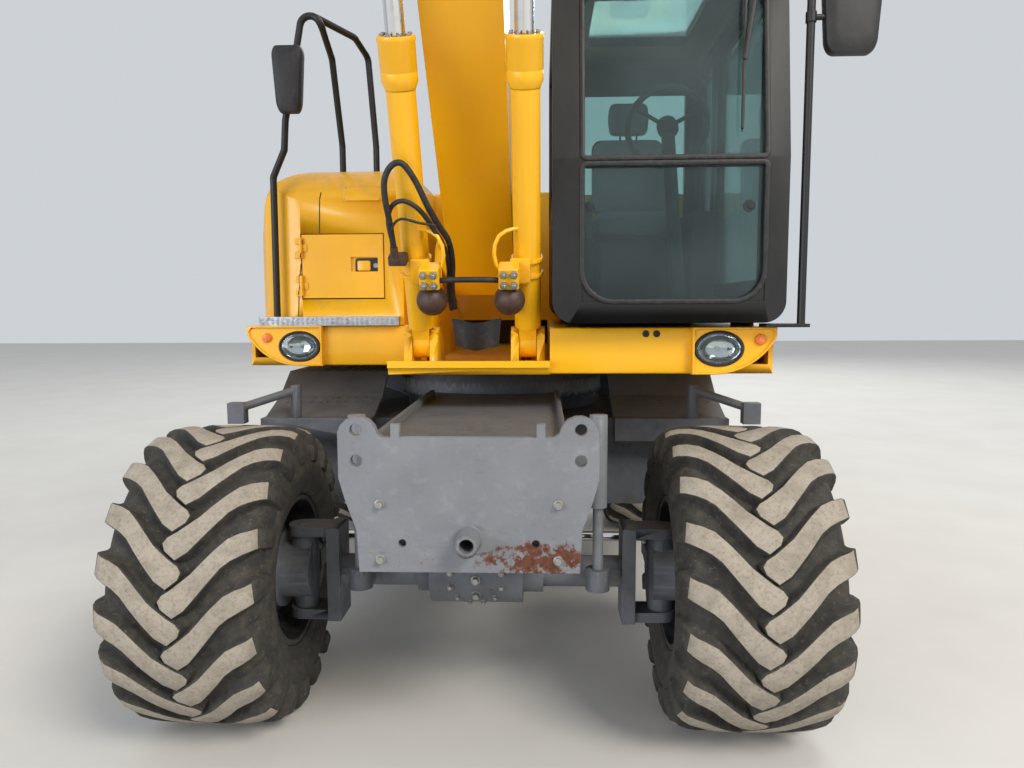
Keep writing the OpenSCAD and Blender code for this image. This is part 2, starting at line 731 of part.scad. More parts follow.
module side_door() {
    g = door_gap;
    box(upper_half - panel_t, upper_half, door_y0 + g, door_y1 - g, door_z0 + g, door_z1 - g);
    side_hinges() for (z = side_hinge_z) hinge_door(z);
}
module pump_door() color(yellow) mirror([1, 0, 0]) side_door();
module cooler_door() {
    color(yellow) difference() {
        side_door();
        for (z = [door_z0 + 80 : 45 : door_z1 - 120])
            box(upper_half - 20, upper_half + 1, door_y0 + 90, door_y1 - 90, z, z + 22);
    }
}

module engine() {
    z0 = upper_z + base_t + seat_gap;
    color("#4a4c4e") difference() {
        box(-520, 520, 780, 1380, z0, z0 + 720);
        box(-470, 470, 830, 1330, z0 + 50, z0 + 670);
    }
}

module counterweight() {
    color(yellow) difference() {
        intersection() {
            round_z(tail_r, 0, 0, upper_z - 20, hood_z - 30, $fn = 180);
            box(-upper_half, upper_half, weight_y + seat_gap, tail_r, upper_z - 20, hood_z - 30);
        }
        box(-980, 980, weight_y + 130, tail_r - 350, upper_z + 130, hood_z - 160);
    }
}

// Handrails: two bent tubes on the tank cover and one beside the cab's front corner
rail_y = -724;
rail_bend = 50;
cab_rail_x = 1330;
cab_rail_y = -1290;
module handrails() {
    color(black) {
        bent_tube([[-1090, rail_y, strip_z + seat_gap], [-1085, rail_y, 2290], [-1025, rail_y, 2421],
            [-1015, rail_y, 2560], [-905, rail_y, 3120], [-826, rail_y, 3017], [-818, -560, 2900],
            [-818, -400, hood_z + 140], [-818, -400, hood_z + seat_gap]], rail_r, rail_bend);
        bent_tube([[-850, rail_y + 20, 3050], [-698, -560, 3001], [-660, -440, 2939], [-641, -380, hood_z + 140],
            [-641, -380, hood_z + seat_gap]], rail_r, rail_bend);
        // Foot plate on the nose, under the cab, and the rail that stands on it
        box(1180, cab_rail_x + 30, cab_rail_y - 25, -1205, deck_z + seat_gap, cab_z - clear);
        bent_tube([[cab_rail_x, cab_rail_y, cab_z - clear - 1], [cab_rail_x, cab_rail_y, 2960],
            [cab_rail_x, -1120, 3050], [cab_out + seat_gap, -1120, 3050]], rail_r, rail_bend);
    }
}

module mirror_head(w, h) {
    difference() {
        box(-w, w, -30, 30, -h, h);
        box(-w + 15, w - 15, 24, 31, -h + 15, h - 15);
    }
}
module mirrors() {
    color(black) {
        translate([1490, cab_rail_y, 2800]) mirror_head(120, 150);
        round_x(12, cab_rail_x + rail_r + seat_gap, 1380, cab_rail_y, 2800);
        translate([-973, rail_y - 60, 2740]) mirror_head(80, 160);
        box(-1000, -955, rail_y - 40, rail_y - rail_r - seat_gap, 2720, 2760);
    }
}

// Cab

module cab_side(i) {
    // Side outline as [Y, Z], set in by i
    f = -cab_fwd + i;
    b = cab_back - i;
    z0 = cab_z + i;
    z1 = roof_z - i;
    polygon([[f, z0], [b, z0], [b, z1 - 160], [b - 60, z1 - 40], [b - 200, z1], [f + 320, z1],
        [f + 170, z1 - 50], [f + 95, z1 - 190], [f, 2250]]);
}
module cab_block(i) {
    x0 = cab_in + i;
    x1 = cab_out - i;
    r = 90 - i;
    w = x1 - x0;
    h = roof_z - cab_z - 2 * i;
    intersection() {
        translate([x0, 0, 0]) rotate([90, 0, 90]) linear_extrude(w) cab_side(i);
        translate([x0 + w / 2, 2000, cab_z + i + h / 2]) rotate([90, 0, 0]) linear_extrude(4000) {
            square([w - 2 * r, h], center = true);
            square([w, h - 2 * r], center = true);
            for (x = [-1, 1], y = [-1, 1]) translate([x * (w / 2 - r), y * (h / 2 - r)]) circle(r = r);
        }
    }
}

// Window openings
glass_x0 = 412;
glass_x1 = 1165;
glass_z0 = 1665;
glass_z1 = 2960;
split_h = 40;
side_y0 = -1180;
side_y1 = 330;
side_z0 = 2120;
side_z1 = 2990;
back_x0 = 400;
back_x1 = 1140;
back_z0 = 2180;
back_z1 = 2990;
cab_door_y0 = -1130;
cab_door_y1 = -130;
cab_door_z0 = 1640;
cab_door_z1 = 3040;
roof_lip = 60;

cab_hinge_z = [cab_door_z0 + 130, cab_door_z1 - 170];
module cab_hinges() translate([cab_out + hinge_out, cab_door_y1 - door_gap / 2, 0]) children();

module cab_frame() {
    color(black) {
        difference() {
            cab_block(0);
            cab_block(cab_t);
            box(glass_x0, glass_x1, -cab_fwd - 1, -cab_fwd + 300, glass_z0, split_z - split_h / 2);
            box(glass_x0, glass_x1, -cab_fwd - 1, -cab_fwd + 300, split_z + split_h / 2, glass_z1);
            box(cab_in - 1, cab_in + cab_t + 1, side_y0, side_y1, side_z0, side_z1);
            box(back_x0, back_x1, cab_back - cab_t - 1, cab_back + 1, back_z0, back_z1);
            box(cab_out - cab_t - 1, cab_out + 1, cab_door_y0, cab_door_y1, cab_door_z0, cab_door_z1);
            box(cab_out - cab_t - 1, cab_out + 1, cab_door_y1 + 80, side_y1, side_z0, side_z1);
            box(500, 1050, -700, -50, roof_z - cab_t - 1, roof_z + 1);
        }
        for (x = [cab_in + 120, cab_out - 120], y = [-1100, 300]) round_z(50, x, y, deck_z + seat_gap, cab_z + 1);
        cab_hinges() for (z = cab_hinge_z) hinge_frame(z);
    }
}

module cab_glass() {
    g = seat_gap;
    t = glass_t;
    color([0.6, 0.75, 0.8, 0.4]) {
        box(glass_x0 + g, glass_x1 - g, -cab_fwd + 22, -cab_fwd + 22 + t, glass_z0 + g, split_z - split_h / 2 - g);
        box(cab_in + 22, cab_in + 22 + t, side_y0 + g, side_y1 - g, side_z0 + g, side_z1 - g);
        box(back_x0 + g, back_x1 - g, cab_back - 22 - t, cab_back - 22, back_z0 + g, back_z1 - g);
        box(cab_out - 22 - t, cab_out - 22, cab_door_y1 + 80 + g, side_y1 - g, side_z0 + g, side_z1 - g);
        box(500 + g, 1050 - g, -700 + g, -50 - g, roof_z - 30, roof_z - 30 + t);
        // Upper front glass, which leans back with the front pillars
        lean = [[-cab_fwd + 22, split_z + split_h / 2 + g], [-cab_fwd + 22 + t, split_z + split_h / 2 + g],
            [-cab_fwd + 118 + t, glass_z1 - g], [-cab_fwd + 118, glass_z1 - g]];
        yz(lean, glass_x0 + g, glass_x1 - g);
    }
}

// Window of the cab door, as [Y, Z] limits
win_y0 = -1050;
win_y1 = -210;
win_z0 = 1760;
win_z1 = 2960;
module cab_door() {
    g = door_gap;
    color(black) {
        difference() {
            box(cab_out - cab_t, cab_out, cab_door_y0 + g, cab_door_y1 - g, cab_door_z0 + g, cab_door_z1 - g);
            box(cab_out - cab_t - 1, cab_out + 1, win_y0, win_y1, win_z0, win_z1);
        }
        cab_hinges() for (z = cab_hinge_z) hinge_door(z);
    }
}
module door_glass() {
    g = seat_gap;
    color([0.6, 0.75, 0.8, 0.4])
        box(cab_out - 22 - glass_t, cab_out - 22, win_y0 + g, win_y1 - g, win_z0 + g, win_z1 - g);
}

seat_x = 772;
cushion_z = 2060;
module seat() {
    color("#8a8275") translate([seat_x, 0, 0]) {
        box(-250, 250, -260, 230, cushion_z, 2190);
        translate([0, 150, 2150]) rotate([-8, 0, 0]) {
            box(-240, 240, 0, 100, 0, 500);
            box(-60, 60, 30, 60, 499, 540);
            box(-123, 123, 0, 80, 530, 740);
        }
    }
}
module controls() {
    z0 = cab_z + cab_t + seat_gap;
    color("#2b2c2e") {
        translate([seat_x, 0, 0]) {
            box(-200, 200, -200, 200, z0, cushion_z - seat_gap);
            both_sides() box(262, 388, -420, 180, z0, 2140);
            both_sides() box(199, 271, -100, 100, z0, z0 + 80);
        }
        box(790, 910, -1180, -1060, z0, z0 + 20);
        bar([850, -1120, z0 + 17], [850, -750, 2470], 32);
        translate([850, -735, 2500]) rotate([-60, 0, 0]) {
            rotate_extrude() translate([190, 0]) circle(r = 15);
            cylinder(r = 50, h = 50, center = true);
            for (a = [90, 210, 330]) rotate([0, 0, a]) round_x(10, 30, 190, 0, 0);
        }
    }
}

// Boom: points are given along and above the line from the foot pin to the tip pin

function boom_pt(f, h) = [foot_y - f * cos(boom_angle) + h * sin(boom_angle),
    foot_z + f * sin(boom_angle) + h * cos(boom_angle)];
function boom_pts(list) = [for (p = list) boom_pt(p[0], p[1])];

cyl_top = [1980, 573];
arm_foot = [3200, 1000];
// Stations of the boom: distance along, lower edge, upper edge
boom_st = [[0, -178, 190], [850, 85, 560], [1700, 348, 900], [2150, 450, 1020], [2600, 490, 1020],
    [3000, 440, 925], [boom_l - 1100, 150, 545], [boom_l - 700, 30, 312], [boom_l - 250, -90, 170]];
tip_fork_t = 38;
arm_pin_r = 40;

function boom_outline(i) = concat([for (s = boom_st) [s[0] + (s[0] == 0 ? 2 * i : 0), s[1] + i * 1.1]],
    [for (k = [len(boom_st) - 1 : -1 : 0]) [boom_st[k][0] + (k == 0 ? 2 * i : 0), boom_st[k][2] - i * 1.1]]);

module boom_round(r, w, f, h) {
    p = boom_pt(f, h);
    round_x(r, boom_x - w, boom_x + w, p[0], p[1]);
}

module boom() {
    half = boom_w / 2;
    color(yellow) difference() {
        union() {
            difference() {
                yz(boom_pts(boom_outline(0)), boom_x - half, boom_x + half);
                yz(boom_pts(boom_outline(boom_t)), boom_x - half + boom_t, boom_x + half - boom_t);
            }
            boom_round(150, ear_in - 3, 0, 0);
            boom_round(110, lug_in - 4, cyl_top[0], cyl_top[1]);
            // Fork that holds the dipper
            for (s = [-1, 1]) translate([s * (half - tip_fork_t / 2), 0, 0]) {
                yz(boom_pts([[boom_l - 600, 4], [boom_l - 250, -90], [boom_l - 40, -115], [boom_l - 40, 115],
                    [boom_l - 250, 170], [boom_l - 600, 274]]), boom_x - tip_fork_t / 2, boom_x + tip_fork_t / 2);
                round_x(125, boom_x - tip_fork_t / 2, boom_x + tip_fork_t / 2, tip[0], tip[1]);
            }
            // Wall that closes the box behind the fork
            wall = boom_l - 480;
            yz(boom_pts([[wall, -28], [wall + 22, -34], [wall + 22, 228], [wall, 234]]), boom_x - half + 2,
                boom_x + half - 2);
            // Lugs of the dipper cylinder
            for (s = [-1, 1]) translate([s * (arm_eye_w / 2 + 18), 0, 0]) {
                yz(boom_pts([[2980, 900], [3400, 750], [3270, 980], [3130, 1030]]), boom_x - 15, boom_x + 15);
                round_x(80, boom_x - 15, boom_x + 15, arm_lo[0], arm_lo[1]);
            }
        }
        boom_round(pin_r + fit, ear_in + 10, 0, 0);
        // Free space for the dipper's foot and lever between the fork's arms
        free = boom_l - 455;
        yz(boom_pts([[free, -500], [boom_l + 400, -500], [boom_l + 400, 500], [free, 500]]),
            boom_x - half + tip_fork_t, boom_x + half - tip_fork_t);
    }
    color("silver") {
        boom_round(pin_r, half + 6, boom_l, 0);
        boom_round(arm_pin_r, arm_eye_w / 2 + 40, arm_foot[0], arm_foot[1]);
    }
}

// Boom cylinders: from the lower pins towards the boom's cylinder pin
cyl_hi = boom_pt(cyl_top[0], cyl_top[1]);
cyl_len = norm(cyl_hi - [cyl_y, cyl_z]);
cyl_tilt = atan2(-(cyl_hi[0] - cyl_y), cyl_hi[1] - cyl_z);

// Places children, drawn upwards from the origin, on a cylinder's line that leans forward
module on_line(x, y, z, tilt) translate([x, y, z]) rotate([tilt, 0, 0]) children();

// A barrel whose round body starts at the end of its neck
module barrel(r, l, gland, eye_r, neck, bore, w, rod) {
    difference() {
        union() {
            round_x(eye_r, -w / 2, w / 2, 0, 0);
            box(-w / 2, w / 2, -eye_r * 0.75, eye_r * 0.75, 0, neck + 1);
            translate([0, 0, neck]) cylinder(r = r, h = l - 80 - neck);
            translate([0, 0, l - 160]) cylinder(r = gland, h = 160);
        }
        round_x(bore, -w, w, 0, 0);
        translate([0, 0, neck + 25]) cylinder(r = rod + fit, h = l);
    }
}
module rod(r, l0, l1, eye_r, w) {
    translate([0, 0, l0]) cylinder(r = r, h = l1 - l0);
    translate([0, 0, l1]) round_x(eye_r, -w / 2, w / 2, 0, 0);
}

module boom_barrels() {
    color(yellow) translate([boom_x, 0, 0]) both_sides()
        on_line(cyl_half, cyl_y, cyl_z, cyl_tilt) barrel(barrel_r, barrel_l, gland_r, 64, 90, cyl_pin_r + fit, eye_w, rod_r);
}
module boom_rods() {
    color("silver") translate([boom_x, 0, 0]) both_sides()
        on_line(cyl_half, cyl_y, cyl_z, cyl_tilt) rod(rod_r, cyl_len - 1240, cyl_len, 82, eye_w);
}
module boom_valves() {
    color("#3a302c") translate([boom_x, 0, 0]) both_sides() on_line(cyl_half, cyl_y, cyl_z, cyl_tilt) {
        box(-40, 40, -130, -barrel_r - seat_gap, 240, 330);
        translate([-70, -118, 285]) rotate([0, 0, 135]) rotate_extrude()
            intersection() {
                circle(r = 66);
                translate([0, -62]) square([66, 124]);
            }
    }
}

// Dipper: points are given along and outside the line from its foot pin to the bucket pin
tip = boom_pt(boom_l, 0);
dipper_dir = boom_angle + 180 + dipper_angle;
function dip_pt(g, k) = [tip[0] - g * cos(dipper_dir) + k * sin(dipper_dir),
    tip[1] + g * sin(dipper_dir) + k * cos(dipper_dir)];
function dip_pts(list) = [for (p = list) dip_pt(p[0], p[1])];

bucket_foot = [230, 400];
tip_pivot = [dipper_l - 420, 50];
dipper_outline = [[-lever_l, -85], [-330, -140], [0, -170], [350, -170], [dipper_l - 250, -100],
    [dipper_l - 50, -70], [dipper_l - 50, 85], [dipper_l - 300, 130], [450, 300], [60, 320], [-300, 230],
    [-lever_l, 85]];
dipper_hollow = [[-260, -110], [0, -135], [350, -135], [dipper_l - 300, -70], [dipper_l - 300, 95], [450, 260],
    [60, 280], [-260, 195]];

module dip_round(r, x0, x1, g, k) {
    p = dip_pt(g, k);
    round_x(r, boom_x + x0, boom_x + x1, p[0], p[1]);
}

module dipper() {
    half = dipper_w / 2;
    color(yellow) difference() {
        union() {
            difference() {
                yz(dip_pts(dipper_outline), boom_x - half, boom_x + half);
                yz(dip_pts(dipper_hollow), boom_x - half + boom_t, boom_x + half - boom_t);
            }
            dip_round(130, -half, half, 0, 0);
            dip_round(88, -half, half, dipper_l, 0);
            dip_round(85, -half, half, -lever_l, 0);
            dip_round(70, -half, half, tip_pivot[0], tip_pivot[1]);
            for (s = [-1, 1]) translate([s * (eye_w / 2 + 18), 0, 0]) {
                yz(dip_pts([[60, 250], [400, 245], [300, 420], [160, 440]]), boom_x - 15, boom_x + 15);
                dip_round(75, -15, 15, bucket_foot[0], bucket_foot[1]);
            }
        }
        dip_round(pin_r + fit, -half - 1, half + 1, 0, 0);
        // Slot for the dipper cylinder's eye
        slot = arm_eye_w / 2 + 4;
        yz(dip_pts([[-900, -260], [-900, 260], [-440, 260], [-440, -260]]), boom_x - slot, boom_x + slot);
    }
    color("silver") {
        dip_round(bucket_pin_r, -ear_far, ear_far, dipper_l, 0);
        dip_round(link_pin_r, -lever_in - lever_t - 2, lever_in + lever_t + 2, tip_pivot[0], tip_pivot[1]);
        dip_round(arm_pin_r, -eye_w / 2 - 40, eye_w / 2 + 40, bucket_foot[0], bucket_foot[1]);
        // Heads of the pin at the dipper cylinder's eye
        translate([boom_x, 0, 0]) both_sides() round_x(55, half - 1, half + 14, arm_hi[0], arm_hi[1]);
    }
}

// Dipper cylinder
arm_lo = boom_pt(arm_foot[0], arm_foot[1]);
arm_hi = dip_pt(-lever_l, 0);
arm_len = norm(arm_hi - arm_lo);
arm_tilt = atan2(-(arm_hi[0] - arm_lo[0]), arm_hi[1] - arm_lo[1]);
arm_barrel_l = 1330;
module dipper_barrel() {
    color(yellow) on_line(boom_x, arm_lo[0], arm_lo[1], arm_tilt)
        barrel(arm_barrel_r, arm_barrel_l, arm_barrel_r + 14, 70, 140, arm_pin_r + fit, arm_eye_w, arm_rod_r);
}
module dipper_rod() {
    color("silver") on_line(boom_x, arm_lo[0], arm_lo[1], arm_tilt)
        rod(arm_rod_r, arm_len - 1330, arm_len, 75, arm_eye_w);
}

// Bucket linkage: where the tipping levers meet the tipping link
bucket_pin = dip_pt(dipper_l, 0);
teeth_dir = dipper_dir - bucket_angle;
function bucket_pt(u, v) = [bucket_pin[0] - u * cos(teeth_dir) + v * sin(teeth_dir),
    bucket_pin[1] + u * sin(teeth_dir) + v * cos(teeth_dir)];
link_turn = 100;
link_low = bucket_pt(bucket_pins * cos(link_turn), bucket_pins * sin(link_turn));
tip_foot = dip_pt(tip_pivot[0], tip_pivot[1]);
span = norm(link_low - tip_foot);
span_dir = atan2(link_low[1] - tip_foot[1], -(link_low[0] - tip_foot[0]));
knee_turn = acos((tip_lever_l * tip_lever_l + span * span - tip_link_l * tip_link_l) / (2 * tip_lever_l * span));
knee_dir = span_dir + knee_turn;
knee = [tip_foot[0] - tip_lever_l * cos(knee_dir), tip_foot[1] + tip_lever_l * sin(knee_dir)];

// A flat bar with round ends between two [Y, Z] points
module link_plate(p, q, r0, r1, x0, x1) {
    d = q - p;
    n = [-d[1], d[0]] / norm(d);
    yz([p + n * r0 * 0.85, p - n * r0 * 0.85, q - n * r1 * 0.85, q + n * r1 * 0.85], x0, x1);
    round_x(r0, x0, x1, p[0], p[1]);
    round_x(r1, x0, x1, q[0], q[1]);
}

lever_in = dipper_w / 2 + 4;
lever_t = 28;
fork_in = eye_w / 2 + 4;
fork_w = 32;
// Ears of the bucket, outside the levers
ear_near = lever_in + lever_t + 8;
ear_far = ear_near + 30;
bucket_pin_r = 45;

module bucket_levers() {
    color(yellow) translate([boom_x, 0, 0]) both_sides() {
        difference() {
            link_plate(tip_foot, knee, 62, 62, lever_in, lever_in + lever_t);
            round_x(link_pin_r + fit, lever_in - 1, lever_in + lever_t + 1, tip_foot[0], tip_foot[1]);
        }
        round_x(link_pin_r, fork_in, lever_in + 1, knee[0], knee[1]);
    }
}
module bucket_link() {
    mid = knee + (link_low - knee) * 0.5;
    color(yellow) translate([boom_x, 0, 0]) {
        both_sides() difference() {
            link_plate(knee, mid, 64, 60, fork_in, fork_in + fork_w);
            round_x(link_pin_r + fit, fork_in - 1, fork_in + fork_w + 1, knee[0], knee[1]);
        }
        link_plate(mid, link_low, 60, 62, -fork_in - fork_w, fork_in + fork_w);
    }
}

bucket_lo = dip_pt(bucket_foot[0], bucket_foot[1]);
bucket_len = norm(knee - bucket_lo);
bucket_tilt = atan2(-(knee[0] - bucket_lo[0]), knee[1] - bucket_lo[1]);
module bucket_barrel() {
    color(yellow) on_line(boom_x, bucket_lo[0], bucket_lo[1], bucket_tilt)
        barrel(56, 1240, 68, 66, 140, arm_pin_r + fit, eye_w, 36);
}
module bucket_rod() {
    color("silver") on_line(boom_x, bucket_lo[0], bucket_lo[1], bucket_tilt)
        rod(36, bucket_len - 1400, bucket_len, 64, eye_w);
}

module bucket() {
    half = bucket_w / 2;
    t = bucket_t;
    lip = bucket_r - 45;
    // Side outline along and behind the line from the pin to the teeth
    shell = concat([[lip, 110]], arc([680, 300], 450, 10, 170, 12), [[150, 60]]);
    hollow = concat([[lip + 3, 46]], arc([680, 300], 450 - t, 10, 170, 12), [[156, -1]]);
    ear = [[0, -80], [160, 40], [248, 372], [-60, 465], [-140, 395], [-80, 0]];
    function place(l) = [for (p = l) bucket_pt(p[0], p[1])];
    color("#4b4d50") {
        difference() {
            yz(place(shell), boom_x - half, boom_x + half);
            yz(place(hollow), boom_x - half + t, boom_x + half - t);
        }
        translate([boom_x, 0, 0]) both_sides() difference() {
            union() {
                yz(place(ear), ear_near, ear_far);
                round_x(85, ear_near, ear_far, bucket_pin[0], bucket_pin[1]);
                round_x(75, ear_near, ear_far, link_low[0], link_low[1]);
            }
            round_x(bucket_pin_r + fit, ear_near - 1, ear_far + 1, bucket_pin[0], bucket_pin[1]);
        }
        // Teeth
        for (i = [-2 : 2]) translate([boom_x + i * (bucket_w - 90) / 4, 0, 0])
            yz(place([[lip - 60, 240], [bucket_r, 0], [lip - 5, 112], [lip - 90, 300]]), -40, 40);
    }
}

chassis_frame();
front_plate();
rear_plate();
slew_ring();
front_axle();
rear_axle();
axle_locks();
side_boxes();
mudguard_arms();
knuckle_left();
knuckle_right();
steer_rod();
rim_front_left();
rim_front_right();
rim_rear_left();
rim_rear_right();
tyre_front_left();
tyre_front_right();
tyre_rear_left();
tyre_rear_right();
slew_frame();
front_noses();
headlamps();
step_strip();
tank_cover();
toolbox_door();
body_panels();
engine_hood();
pump_door();
cooler_door();
engine();
counterweight();
handrails();
mirrors();
cab_frame();
cab_glass();
cab_door();
door_glass();
seat();
controls();
boom();
boom_barrels();
boom_rods();
boom_valves();
dipper();
dipper_barrel();
dipper_rod();
bucket_barrel();
bucket_rod();
bucket_levers();
bucket_link();
bucket();
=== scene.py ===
"""Looks of the wheeled excavator, in metres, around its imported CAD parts."""

import functools
import json
import math

import bmesh
import bpy
import numpy as np
from mathutils import Matrix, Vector
from mathutils.bvhtree import BVHTree

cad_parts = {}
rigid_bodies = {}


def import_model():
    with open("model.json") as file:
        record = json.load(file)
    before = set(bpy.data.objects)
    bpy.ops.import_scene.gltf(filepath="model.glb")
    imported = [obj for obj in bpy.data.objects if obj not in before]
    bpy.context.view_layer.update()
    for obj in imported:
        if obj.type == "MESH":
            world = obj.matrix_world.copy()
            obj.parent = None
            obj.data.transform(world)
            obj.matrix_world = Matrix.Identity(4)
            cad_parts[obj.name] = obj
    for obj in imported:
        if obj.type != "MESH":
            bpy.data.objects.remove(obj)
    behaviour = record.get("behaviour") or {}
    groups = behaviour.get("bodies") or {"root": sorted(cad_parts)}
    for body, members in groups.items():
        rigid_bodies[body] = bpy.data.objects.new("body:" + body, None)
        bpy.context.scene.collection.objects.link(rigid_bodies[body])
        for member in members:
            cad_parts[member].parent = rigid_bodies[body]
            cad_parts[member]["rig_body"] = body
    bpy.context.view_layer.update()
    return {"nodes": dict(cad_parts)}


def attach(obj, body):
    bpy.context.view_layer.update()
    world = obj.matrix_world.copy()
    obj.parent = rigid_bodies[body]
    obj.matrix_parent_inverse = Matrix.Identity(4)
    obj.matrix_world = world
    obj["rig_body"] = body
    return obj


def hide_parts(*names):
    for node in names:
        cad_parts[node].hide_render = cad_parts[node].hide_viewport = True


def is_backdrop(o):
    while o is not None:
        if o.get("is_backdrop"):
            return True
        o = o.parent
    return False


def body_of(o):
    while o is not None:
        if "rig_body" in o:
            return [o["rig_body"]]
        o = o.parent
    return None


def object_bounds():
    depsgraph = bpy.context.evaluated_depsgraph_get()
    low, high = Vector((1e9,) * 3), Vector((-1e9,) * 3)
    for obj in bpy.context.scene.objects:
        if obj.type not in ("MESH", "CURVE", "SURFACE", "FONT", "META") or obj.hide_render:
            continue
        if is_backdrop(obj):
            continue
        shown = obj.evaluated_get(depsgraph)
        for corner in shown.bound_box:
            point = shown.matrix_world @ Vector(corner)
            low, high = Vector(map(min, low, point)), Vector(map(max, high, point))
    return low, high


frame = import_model()

MM = 0.001
TAU = 2 * math.pi


# Nodes and materials


def colour(code):
    """sRGB hex code to linear colour with an alpha of 1."""
    c = np.array([int(code[i : i + 2], 16) / 255 for i in (1, 3, 5)])
    return (*np.where(c <= 0.04045, c / 12.92, ((c + 0.055) / 1.055) ** 2.4).tolist(), 1.0)


def put(tree, kind, inputs=None, **settings):
    """Adds one node with its settings, and gives each named input a value or another node's output."""
    node = tree.nodes.new("ShaderNode" + kind)
    for name, value in settings.items():
        setattr(node, name, value)
    for name, value in (inputs or {}).items():
        if isinstance(value, bpy.types.NodeSocket):
            tree.links.new(value, node.inputs[name])
        else:
            node.inputs[name].default_value = value
    return node


def blank(name):
    """A new material, its empty tree and the piece's own coordinates."""
    material = bpy.data.materials.new(name)
    material.use_nodes = True
    tree = material.node_tree
    tree.nodes.clear()
    return material, tree, put(tree, "TexCoord")


def patches(tree, coords, size, low, high, detail=4.0, stretch=(1, 1, 1), rough=0.6):
    """Mask of cloudy patches about size millimetres across: 0 below low, 1 above high."""
    moved = put(tree, "Mapping", {"Vector": coords.outputs["Object"], "Scale": stretch}).outputs[0]
    cloud = {"Vector": moved, "Scale": 1000 / size, "Detail": detail, "Roughness": rough}
    shade = put(tree, "TexNoise", cloud).outputs[0]
    return put(tree, "MapRange", {"Value": shade, "From Min": low, "From Max": high}).outputs[0]


def edges(tree, coords, radius):
    """Mask of the outer edges, from how far the normal turns within radius millimetres."""
    soft = put(tree, "Bevel", {"Radius": radius * MM}, samples=4).outputs[0]
    hard = put(tree, "NewGeometry").outputs["Normal"]
    same = put(tree, "VectorMath", {0: soft, 1: hard}, operation="DOT_PRODUCT").outputs["Value"]
    return put(tree, "MapRange", {"Value": same, "From Min": 0.995, "From Max": 0.9}).outputs[0]


def facing_up(tree, coords):
    """Mask of the faces that look up, where dust settles."""
    z = put(tree, "SeparateXYZ", {0: coords.outputs["Normal"]}).outputs["Z"]
    return put(tree, "MapRange", {"Value": z, "From Min": 0.3, "From Max": 0.95}).outputs[0]


def low_down(tree, coords, low, high):
    """Mask that grows from a height of high metres down to low."""
    z = put(tree, "SeparateXYZ", {0: coords.outputs["Object"]}).outputs["Z"]
    return put(tree, "MapRange", {"Value": z, "From Min": high, "From Max": low}).outputs[0]


def both(tree, a, b, operation="MULTIPLY"):
    """Two values put together."""
    return put(tree, "Math", {0: a, 1: b}, operation=operation).outputs[0]


def mask(tree, coords, parts):
    """Product of parts: shares, the numbers of patches, or a mask's function with its own numbers."""
    value = None
    for part in parts:
        if isinstance(part, tuple):
            kind, numbers = (part[0], part[1:]) if callable(part[0]) else (patches, part)
            part = kind(tree, coords, *numbers)
        value = part if value is None else both(tree, value, part)
    return value


def finish(name, base, rough, layers=(), relief=None, round_edge=0.0, metal=0.0, coat=0.0):
    """A finish whose base colour and roughness are covered by layers in turn, each given as (colour
    code, roughness, parts of its mask). Its relief is given as (part of a mask, millimetres)."""
    material, tree, coords = blank(name)
    shade, dull, normal = colour(base), rough, None
    for code, roughness, *parts in layers:
        cover = mask(tree, coords, parts)
        shade = put(tree, "Mix", {0: cover, 6: shade, 7: colour(code)}, data_type="RGBA").outputs[2]
        dull = put(tree, "Mix", {0: cover, 2: dull, 3: roughness}, data_type="FLOAT").outputs[0]
    if round_edge:
        normal = put(tree, "Bevel", {"Radius": round_edge * MM}, samples=4).outputs[0]
    if relief:
        height, depth = mask(tree, coords, relief[:1]), relief[1] * MM
        bump = {"Height": height, "Distance": depth, "Strength": 1.0}
        if normal:
            bump["Normal"] = normal
        normal = put(tree, "Bump", bump).outputs[0]
    look = {"Base Color": shade, "Roughness": dull, "Metallic": metal}
    look.update({"Coat Weight": coat, "Coat Roughness": 0.12})
    if normal:
        look["Normal"] = normal
    put(tree, "OutputMaterial", {"Surface": put(tree, "BsdfPrincipled", look).outputs[0]})
    return material


def glass_finish(name, code, shine, film):
    """Thin sheet: clear with a tint straight on, mirroring at a grazing view by a share of shine,
    under a patchy film of dust."""
    material, tree, coords = blank(name)
    clear = put(tree, "BsdfTransparent", {"Color": colour(code)}).outputs[0]
    gloss = put(tree, "BsdfGlossy", {"Color": (1, 1, 1, 1), "Roughness": 0.02}).outputs[0]
    haze = put(tree, "BsdfDiffuse", {"Color": colour("#B4C9CC")}).outputs[0]
    share = both(tree, put(tree, "Fresnel", {"IOR": 1.5}).outputs[0], shine)
    dust = mask(tree, coords, [(400, 0.2, 0.9, 1.0), film])
    sheet = put(tree, "MixShader", {0: share, 1: clear, 2: gloss}).outputs[0]
    sheet = put(tree, "MixShader", {0: dust, 1: sheet, 2: haze}).outputs[0]
    put(tree, "OutputMaterial", {"Surface": sheet})
    return material


# Patterns that only some finishes have


def cells(tree, coords, count):
    """Relief of small cells, about count of them in a metre."""
    return put(tree, "TexVoronoi", {"Vector": coords.outputs["Object"], "Scale": count}).outputs["Distance"]


def spangle(tree, coords):
    """Mask with one shade for each crystal of a zinc coat, about 17 mm across."""
    crystals = put(tree, "TexVoronoi", {"Vector": coords.outputs["Object"], "Scale": 60.0})
    return put(tree, "SeparateColor", {0: crystals.outputs["Color"]}).outputs[0]


def ribs(tree, coords):
    """Relief of level ribs across a lens, 2.6 mm apart."""
    wave = {"Vector": coords.outputs["Object"], "Scale": 120.0, "Distortion": 0.0}
    return put(tree, "TexWave", wave, bands_direction="Z").outputs["Fac"]


def threads(tree, coords):
    """Relief of a weave, its threads 1.2 mm apart: the higher of two waves that cross."""
    across = {"Vector": coords.outputs["Object"], "Scale": 260.0}
    warp, weft = (put(tree, "TexWave", across, bands_direction=axis).outputs["Fac"] for axis in "XZ")
    return both(tree, warp, weft, "MAXIMUM")


